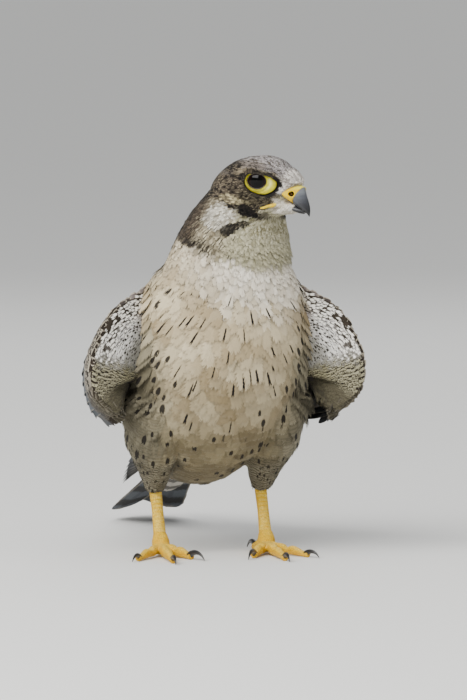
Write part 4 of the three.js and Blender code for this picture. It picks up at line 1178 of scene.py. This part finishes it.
def lobe_tones(s, across, luck):
    """White tips on dark feathers, then white with small dark marks, then grey; wavy bars lower down, then plain."""
    second = another(luck)
    barred = smooth(across + 0.06 * (luck - 0.5), 0.4, 0.54)
    plain = smooth(across + 0.04 * (second - 0.5), 0.68, 0.8)
    netted = smooth(s + 7 * (second - 0.5), 21, 13) * (1 - barred)
    grey = smooth(s + 6 * (luck - 0.5), 18, 32)
    lilac = smooth(across + 0.03 * (luck - 0.5), 0.15, 0.08) * 0.85
    cream = smooth(across, 0.09, 0.05) * smooth(s, 12, 18)
    # The plain olive-brown lower down is darkened as painted shade on the lobe's lower part, over its own plain colour.
    ground = washed((250, 247, 242), ((146, 144, 136), grey), ((150, 140, 134), lilac), ((224, 214, 184), cream),
                    ((142, 136, 104), barred * 0.92), ((82, 77, 60), plain * 0.92))
    ground = mix(ground * mix(0.9, 1.08, luck)[:, None], tone(58, 51, 43), netted[:, None])
    inverted = netted > 0.5
    drop = np.where(inverted, second < 0.85, (second < mix(0.5, 0.25, grey)) * (1 - barred))
    streak = np.where(inverted, 0, (second > 0.6) * (1 - barred) * 0.9)
    marks = np.stack([streak, drop, barred * (1 - 0.5 * plain), np.full(len(s), 0.1)], 1)
    ink = mix(tone(44, 38, 32), tone(250, 246, 238), inverted[:, None])
    size = np.where(inverted, mix(0.6, 1.3, luck), mix(0.5, 1.1, luck))
    return ground, marks, np.concatenate([ink, mix(size, 1.2, barred)[:, None]], 1)


wing_front("wing_front", tuft(8, 6, 0.06), 5, 50, 2.2, 2.2, ((-5, 25, 45), (8, 7.5, 12)),
           ((-5, 20, 45), (0.36, 0.29, 0.25)), (-0.9, 0.7), lobe_tones)
wing_front("wing_edge", vane(0.7, 6, 0, 3, 0.03), -46, 9, 3.3, 3.9, ((-46, 0, 9), (13, 8.6, 7)),
           ((-46, 0), (0.33, 0.4)), (-2.1, -0.9), edge_tones)


# Tail
def on_tail(off, along, lift):
    fall = math.radians(TAIL_FALL)
    rise = lift - TAIL_ARCH * off * off
    return np.stack([off + 0 * rise, along * math.cos(fall) + rise * math.sin(fall),
                     rise * math.cos(fall) - along * math.sin(fall)], -1) + TAIL_ROOT


def tail_set(name, template, count, spread_deg, start, length, uneven, half, lifts, colour, mark, up=1, replaced=()):
    """Feathers from the middle of the tail outwards, left and right in turn. length is a function of the share."""
    order, t = np.arange(count), np.linspace(0, 1, 7)
    side, pair = np.where(order % 2 == 0, 1, -1), order // 2 / (count / 2 - 1)
    along = mix(start, (length(pair) - uneven * (side > 0))[:, None], t)
    off = np.sin(np.radians(side * mix(*spread_deg, pair)))[:, None] * along
    height = (lifts[0] + order * lifts[1])[:, None] + 0 * along
    beside = on_tail(off + 0.5, along, height) - on_tail(off - 0.5, along, height)
    ahead = on_tail(off, along + 0.5, height) - on_tail(off, along - 0.5, height)
    looks = np.broadcast_to(colour, (count, 3)) * rng.uniform(0.92, 1.08, (count, 1)), mark, INK
    coat(name, "plumage_grey", template, on_tail(off, along, height), unit(np.cross(beside, ahead)) * up, half, 0.03,
         looks, replaced=replaced)


tail_set("tail_feathers", vane(0.16, 20), 12, (0.9, 6.2), 0, lambda pair: TAIL_LENGTH - 0.4 - 9 * pair**2, 1, 12,
         (0, -0.7), SLATE, (0.3, 0, 0.9, 0.5), replaced=["tail"])
tail_set("upper_tail_coverts", vane(0.42, 12), 10, (2, 13), -4, lambda pair: 72 - 30 * pair, 4, 8.5, (4.4, -0.35),
         SLATE, (0.4, 0, 0.7, 0.7))
tail_set("under_tail_coverts", vane(0.42, 12), 10, (2, 10), -4, lambda pair: 92 - 30 * pair, 4, 8.5, (-12.6, 0.35),
         (0.5, 0.46, 0.4), (0.1, 0, 0.8, 0.5), up=-1)


# Cere, mouth and bill
# The cere's deepest tone, near black, is painted shade for the inside of the nostrils.
cere_yellow, lid_yellow, leg_yellow = (yellow_skin("bare_skin_" + name, *looks) for name, *looks in (
    ("cere", 1500, 0.00022, (196, 138, 24), (18, 9, 4), (228, 164, 0), (244, 206, 0), (255, 240, 90)),
    ("lids", 1700, 0.00015, (150, 140, 30), (104, 96, 20), (200, 190, 24), (244, 240, 150)),
    ("legs", 620, 0.0006, (168, 118, 20), (218, 158, 14), (238, 192, 36), (248, 222, 120))))
NOSTRIL_AXIS = np.array([0.985, -0.174, 0])
NOSTRIL_DEPTH, NOSTRIL_LIP, CERE_HALF = 2.4, 0.35, 2.6  # CERE_HALF keeps each nostril to its own side
cere_mesh = fused("cere", [moved(beak(CERE, 80, 30, 2.7), to_bird)], 0.3, 4)
q = to_head(coordinates(cere_mesh))
for _, _, flip in SIDES:
    axis, v = NOSTRIL_AXIS * flip, q - NOSTRIL_AT * flip
    off = np.linalg.norm(v - axis * (v @ axis)[:, None], axis=1)
    hole = smooth(off, NOSTRIL_RADIUS, NOSTRIL_RADIUS * 0.75) * smooth(off, TUBERCLE * 0.5, TUBERCLE)
    swell = np.exp(-((off - NOSTRIL_RADIUS * 1.4) ** 2) / 0.4)
    q += axis * ((NOSTRIL_LIP * swell - NOSTRIL_DEPTH * hole) * (v @ axis > -CERE_HALF))[:, None]
set_coordinates(cere_mesh, to_bird(q))
# The cere's tone is paler along its top and a little deeper low at the front. In the nostrils it is painted shade: near
# black in the holes, less dark on the raised tubercles.
off = np.hypot(q[:, 1] - NOSTRIL_AT[1], q[:, 2] - NOSTRIL_AT[2])
in_hole = smooth(off, NOSTRIL_RADIUS, NOSTRIL_RADIUS * 0.82) * mix(0.4, 1, smooth(off, TUBERCLE * 0.5, TUBERCLE))
tones = 0.5 + 0.34 * smooth(q[:, 2], 3.4, 6.4) - 0.1 * smooth(q[:, 1], -27, -31) * smooth(q[:, 2], 0, -4)
piece("cere_skin", cere_mesh, "bare_skin", cere_yellow, np.clip(tones, 0.36, 1) - in_hole * 1.2, ["cere"])
LIP = [(16.1, -11.2, -12.1, 0.5, 0.4, 0.4), (15.2, -13.6, -11.2, 1, 0.95, 0.8), (13.9, -16.6, -9.5, 1, 1.1, 0.8),
       (12.9, -18.6, -8.8, 1.1, 1.5, 0.9), (12.2, -20.2, -7.9, 1, 1.4, 0.9), (11.8, -21.4, -7.4, 0.4, 0.6, 0.4)]
lip_mesh = fused("gape", [moved(shell, to_bird) for shell in both(loft(LIP, 24, 60))], 0.22, 2)
q = to_head(coordinates(lip_mesh))
piece("gape_lip", lip_mesh, "bare_skin", cere_yellow, 0.55 + 0.25 * np.sin(q[:, 1] * 2.3) * smooth(q[:, 2], -11, -8))

horn = horn_material()
upper = [moved(shell, to_bird) for shell in (beak(HORN, 72, 70), *both(loft(TOOTH, 20, 12)))]
upper = fused("bill_upper_horn", upper, 0.26, 3)
q = to_head(coordinates(upper))
set_coordinates(upper, to_bird(q + [0, 0.05, 0]))
# Darker towards the tip, the horn's own colour, and darker downwards: paler along the top as a painted highlight on the
# culmen and deeper below as painted shade.
tones = ((HORN[0][0] - q[:, 1]) * 0.4 + (4 - q[:, 2]) * 0.8) / 15
piece("bill_upper_horn", upper, "bill", horn, np.clip(tones, 0, 1), ["bill_upper"])
lower = joined_mesh("bill_lower_horn", [moved(beak(JAW, 48, 40), to_bird)])
tones = smooth(to_head(coordinates(lower))[:, 1], -24, -39) * 0.75 + 0.2
piece("bill_lower_horn", lower, "bill", horn, tones, ["bill_lower"])


# Eyes
def round_eye(angle, radius, rise):
    """Places round the left eye in the head: an angle from the front upwards, a radius, and a distance outwards."""
    return (EYE_AT + (EYE_AHEAD * np.cos(angle)[..., None] + EYE_ABOVE * np.sin(angle)[..., None]) * radius[..., None]
            + EYE_OUT * rise[..., None])


def eye_piece(name, shell, side, slot, material, share, replaced=()):
    mesh = joined_mesh(name, [moved(sided(shell, side), to_bird)])
    piece(name, mesh, slot, material, np.clip(share, 0, 1).ravel(), replaced)


ROUND_EYE, ROUND_LID, ROUND_RIM = 64, 160, 40  # steps round the eyeball, round the lids and round their section
IRIS_EDGE = 0.86  # radians from the middle of the cornea
polar = np.linspace(0, np.pi, 48)[1:-1, None]
cornea = EYE_RADIUS * (1 + 0.035 * np.exp(-((polar / 0.55) ** 2)))
around = np.linspace(0, 2 * np.pi, ROUND_EYE, endpoint=False)[None]
ball = tube(round_eye(around, cornea * np.sin(polar), cornea * np.cos(polar) + 0 * around))
iris = np.append(np.repeat(polar, ROUND_EYE), [0, np.pi]) / IRIS_EDGE

turn = np.linspace(0, 2 * np.pi, ROUND_RIM, endpoint=False)[None]
around = np.linspace(0, 2 * np.pi, ROUND_LID, endpoint=False)[:, None]
reach, opening = lid_reach(around), lid_gap(around)
drape = np.sqrt(EYE_RADIUS**2 - opening**2) - LID_PLANE
corner = smooth(reach, 9, 14)
inner_share = (1 - np.cos(turn)) / 2
out = mix(reach, opening, inner_share)
from_rim = out - opening
swell = 0.45 * np.exp(-(((from_rim - 1.1) / 0.75) ** 2)) - 0.3 * np.exp(-(((from_rim - 2.5) / 0.5) ** 2))
pebble = 0.05 * np.sin(around * 60 + 3 * from_rim) * np.sin(from_rim * 5 + around * 9)
height = np.sin(turn) * LID_THICK + (np.sin(turn) > 0) * (swell + pebble) * np.sin(turn)
height = height + LID_LIFT * corner * np.maximum(0, np.cos(turn)) + drape * inner_share
across_lid = from_rim / (reach - opening)
shown = 0.34 + 0.16 * corner - 0.24 * smooth(from_rim, 0.9, 0.1) - 0.22 * smooth(across_lid, 0.8, 1)
# Painted highlight: a pale, wet-looking spot in the middle of the lids' broad front corner.
shown = shown + 0.34 * corner * np.exp(-(((across_lid - 0.42) / 0.17) ** 2))
k = np.arange(ROUND_LID * ROUND_RIM).reshape(ROUND_LID, ROUND_RIM)
ahead, beyond = np.roll(k, -1, 0), np.roll(k, (-1, -1), (0, 1))
quads = [tuple(f) for f in np.stack([k, ahead, beyond, np.roll(k, -1, 1)], -1).reshape(-1, 4)]
lids = round_eye(around, out, LID_PLANE + height).reshape(-1, 3), quads
dark_rim = (round_eye(around, opening - 0.1 + 0.4 * np.cos(turn), LID_PLANE + drape + 0.2 + 0.4 * np.sin(turn))
            .reshape(-1, 3), quads)
wet = eye_material()
rim_dark = Nodes("lid_rim").set(Base_Color=(0.015, 0.011, 0.009, 1), Roughness=0.35)
for side, suffix, _ in SIDES:
    eye_piece(f"eyeball_{suffix}", ball, side, "eye", wet, iris, [f"eye_{suffix}"])
    eye_piece(f"lids_{suffix}", lids, side, "bare_skin", lid_yellow, shown, [f"eyelid_{suffix}"])
    eye_piece(f"lid_rim_{suffix}", dark_rim, side, "bare_skin", rim_dark, shown)

# Two rows of short dark feathers that hang from the brow over the top of the lids
IN_ROW = 84
count = 2 * IN_ROW
angle = np.concatenate([np.linspace(4, 172, IN_ROW) + shift for shift in (0, 1)]) + rng.uniform(-1.2, 1.2, count)
row = np.repeat([[0.0], [1.0]], IN_ROW, 0)
t = np.linspace(0, 1, STATIONS)
turned = np.radians(angle[:, None] + 15 * t)
reach, opening = lid_reach(turned % (2 * np.pi)), lid_gap(turned)
over_eye = smooth(angle, 24, 50) * smooth(angle, 140, 105)
tip = mix(reach - 0.1, np.maximum(opening - 0.2, 5.2), over_eye[:, None])
tip += rng.uniform(-0.3, 0.5, count)[:, None] + 0.6 * row
rise = LID_PLANE + mix(1.4, 2.7, t**0.7) + LID_LIFT * smooth(angle, 40, 10)[:, None]
path = round_eye(turned, mix(reach + 1.4 + 0.9 * row, tip, t), rise)
normal = unit(round_eye(turned, np.full(turned.shape, 0.35), np.ones(turned.shape)) - EYE_AT)
for _, suffix, flip in SIDES:
    shades = mix(tone(20, 17, 15), tone(84, 74, 60), rng.random(count)[:, None] ** 2 * (0.2 + 0.8 * row))
    coat(f"coat_brow_{suffix}", "plumage_dark", fine, to_bird(path * flip), (normal * flip) @ HEAD_FRAME[:3, :3].T,
         0.75, 0.2, (shades, (0.3, 0, 0, 0.15), (*INK, 0.4)), round_head(path[:, 0] * flip) * 0.98 + 0.01)


# Legs
SCUTE_LONG, SCUTE_DEEP = 2.3, 0.32  # the broad scales down the front of the shank and over the toes
def toe_ahead(angle):
    a = math.radians(angle)
    return np.array([-math.sin(a), -math.cos(a), 0])


def toe_stations(toe):
    _, angle, length, thick, _ = toe
    rows = []
    for t in np.linspace(0, 1, 9):
        pads = 0.9 + 0.16 * math.cos(t * math.pi * (6 if length > 30 else 4))
        size = thick * mix(1.05, 0.78, t) * pads * (1 - 0.25 * t**6)
        at = np.array([*TOE_ROOT, 0]) + toe_ahead(angle) * length * t
        height = mix(6.2, size * 0.9, float(smooth(t, 0, 0.45))) + 1.1 * math.sin(math.pi * t)
        rows.append((at[0], at[1], height, size * 0.92, size))
    return rows


def claw_stations(toe):
    _, angle, _, thick, long = toe
    ahead, (x, y, z, *_) = toe_ahead(angle), toe_stations(toe)[-1]
    rows = []
    for t in np.linspace(0, 1, 9):
        slope = CLAW_RISE - CLAW_BEND * t
        reach = long / CLAW_BEND * (math.sin(CLAW_RISE) - math.sin(slope)) - CLAW_SUNK
        height = long / CLAW_BEND * (math.cos(slope) - math.cos(CLAW_RISE))
        radius = mix(thick * 0.62, 0.3, t)
        rows.append((x + ahead[0] * reach, y + ahead[1] * reach, z + height, radius * 0.85, radius))
    return rows


toe_shells = [rod(toe_stations(toe), 28, 60) for toe in TOES]
leg_mesh = fused("leg", [rod(SHANK, 32, 40), rod(BALL, 32, 16), *toe_shells], 0.55, 3)
p = coordinates(leg_mesh)
lines = [curve([s[:3] for s in stations])(np.linspace(0, 1, 60)) for stations in (SHANK, *map(toe_stations, TOES))]
away = np.stack([np.linalg.norm(p[:, None] - way[None], axis=2) for way in lines])
nearest = away.min(2).argmin(0)
steps = np.array([np.linalg.norm(np.diff(way, axis=0), axis=1).mean() for way in lines])
far = away[nearest, np.arange(len(p))].argmin(1) * steps[nearest]
out = normals(leg_mesh)
front = np.where(nearest == 0, smooth(-out[:, 1], 0.1, 0.7), smooth(out[:, 2], 0.2, 0.8))
scute = np.abs(np.sin(far * np.pi / SCUTE_LONG)) ** 0.45
p += out * (SCUTE_DEEP * (scute - 1) * front)[:, None]
p[:, 2] = np.maximum(p[:, 2], 0)
claws = claw_material()
for side, suffix, flip in SIDES:
    mesh = leg_mesh.copy()
    mesh.name = f"leg_{suffix}"
    set_coordinates(mesh, p * flip)
    if side < 0:
        mesh.flip_normals()
    # Paler on the crowns of the broad front scales than in the grooves between them: the deeper grooves are painted
    # shade.
    piece(f"leg_{suffix}", mesh, "bare_skin", leg_yellow, np.clip(0.35 + 0.35 * front * scute, 0, 1),
          [f"shank_{suffix}", f"foot_{suffix}"])
    for toe in TOES:
        name = f"talon_{toe[0]}_{suffix}"
        mesh = joined_mesh(name, [sided(rod(claw_stations(toe), 24, 30), side)])
        piece(name, mesh, "claw", claws, replaced=[f"claw_{toe[0]}_{suffix}"])

# The skins under all the feathers
paint(skin_mesh, "ground", colours(regions(verts), np.full(len(verts), 0.5))[0])
paint(wing_skin, "ground", np.broadcast_to(tone(62, 56, 50), (len(wing_skin.vertices), 3)))
under = skin_material()
piece("skin", skin_mesh, "plumage_pale", under, replaced=["head", "neck", "torso", "thigh_left", "thigh_right"])
piece("wing_skin", wing_skin, "plumage_grey", under,
      replaced=["wing_left", "wing_right", "primaries_left", "primaries_right"])

# Floor, light and camera
bpy.ops.mesh.primitive_plane_add(size=400, location=(0, 0, 0))
floor = bpy.context.object
floor.name = "floor"
floor.data.materials.append(Nodes("floor").set(Base_Color=(0.8, 0.8, 0.78, 1), Roughness=0.9))


def lamp(name, place, wide, tall, watts, colour=(1, 1, 1)):
    """A lit rectangle that faces the bird."""
    light = bpy.data.lights.new(name, "AREA")
    light.shape, light.size, light.size_y, light.energy, light.color = "RECTANGLE", wide, tall, watts, colour
    obj = bpy.data.objects.new(name, light)
    obj.location = place
    obj.rotation_euler = (Vector((0, -0.06, 0.18)) - Vector(place)).to_track_quat("-Z", "Y").to_euler()
    show(obj)


lamp("key_light", (-1.6, -1.7, 1.95), 2.8, 1.7, 138, (1, 0.99, 0.97))
lamp("fill_light", (2.2, -1.8, 1.2), 2.0, 2.0, 8, (0.97, 0.99, 1))
lamp("back_light", (0.6, 2.2, 1.9), 1.6, 1.6, 14)
overhead = bpy.data.objects.new("overhead_light", bpy.data.lights.new("overhead_light", "SUN"))
overhead.data.energy, overhead.data.angle = 0.9, 1.3
overhead.rotation_euler = (math.radians(18), math.radians(-10), 0)
show(overhead)
world = bpy.data.worlds.new("studio")
bpy.context.scene.world = world
world.use_nodes = True
sky = world.node_tree.nodes["Background"].inputs
sky["Color"].default_value, sky["Strength"].default_value = (0.9, 0.91, 0.92, 1), 0.42

CAMERA_TURN, CAMERA_RISE, CAMERA_AWAY = math.radians(-12), math.radians(4), 4.0
PHOTO_TALL, PIXEL, SENSOR = 700, 0.00072, 36  # the photo's height in pixels, metres to a pixel, millimetres
look = Vector((-math.sin(CAMERA_TURN) * math.cos(CAMERA_RISE), math.cos(CAMERA_TURN) * math.cos(CAMERA_RISE),
               -math.sin(CAMERA_RISE)))
camera = bpy.data.objects.new("camera", bpy.data.cameras.new("camera"))
show(camera)
camera.location = Vector(placed([12.6, -2.7, 148.6])) - look * CAMERA_AWAY
camera.rotation_euler = look.to_track_quat("-Z", "Y").to_euler()
camera.data.lens, camera.data.sensor_width = SENSOR * CAMERA_AWAY / (PHOTO_TALL * PIXEL), SENSOR
camera.data.clip_end = 100
bpy.context.scene.camera = camera
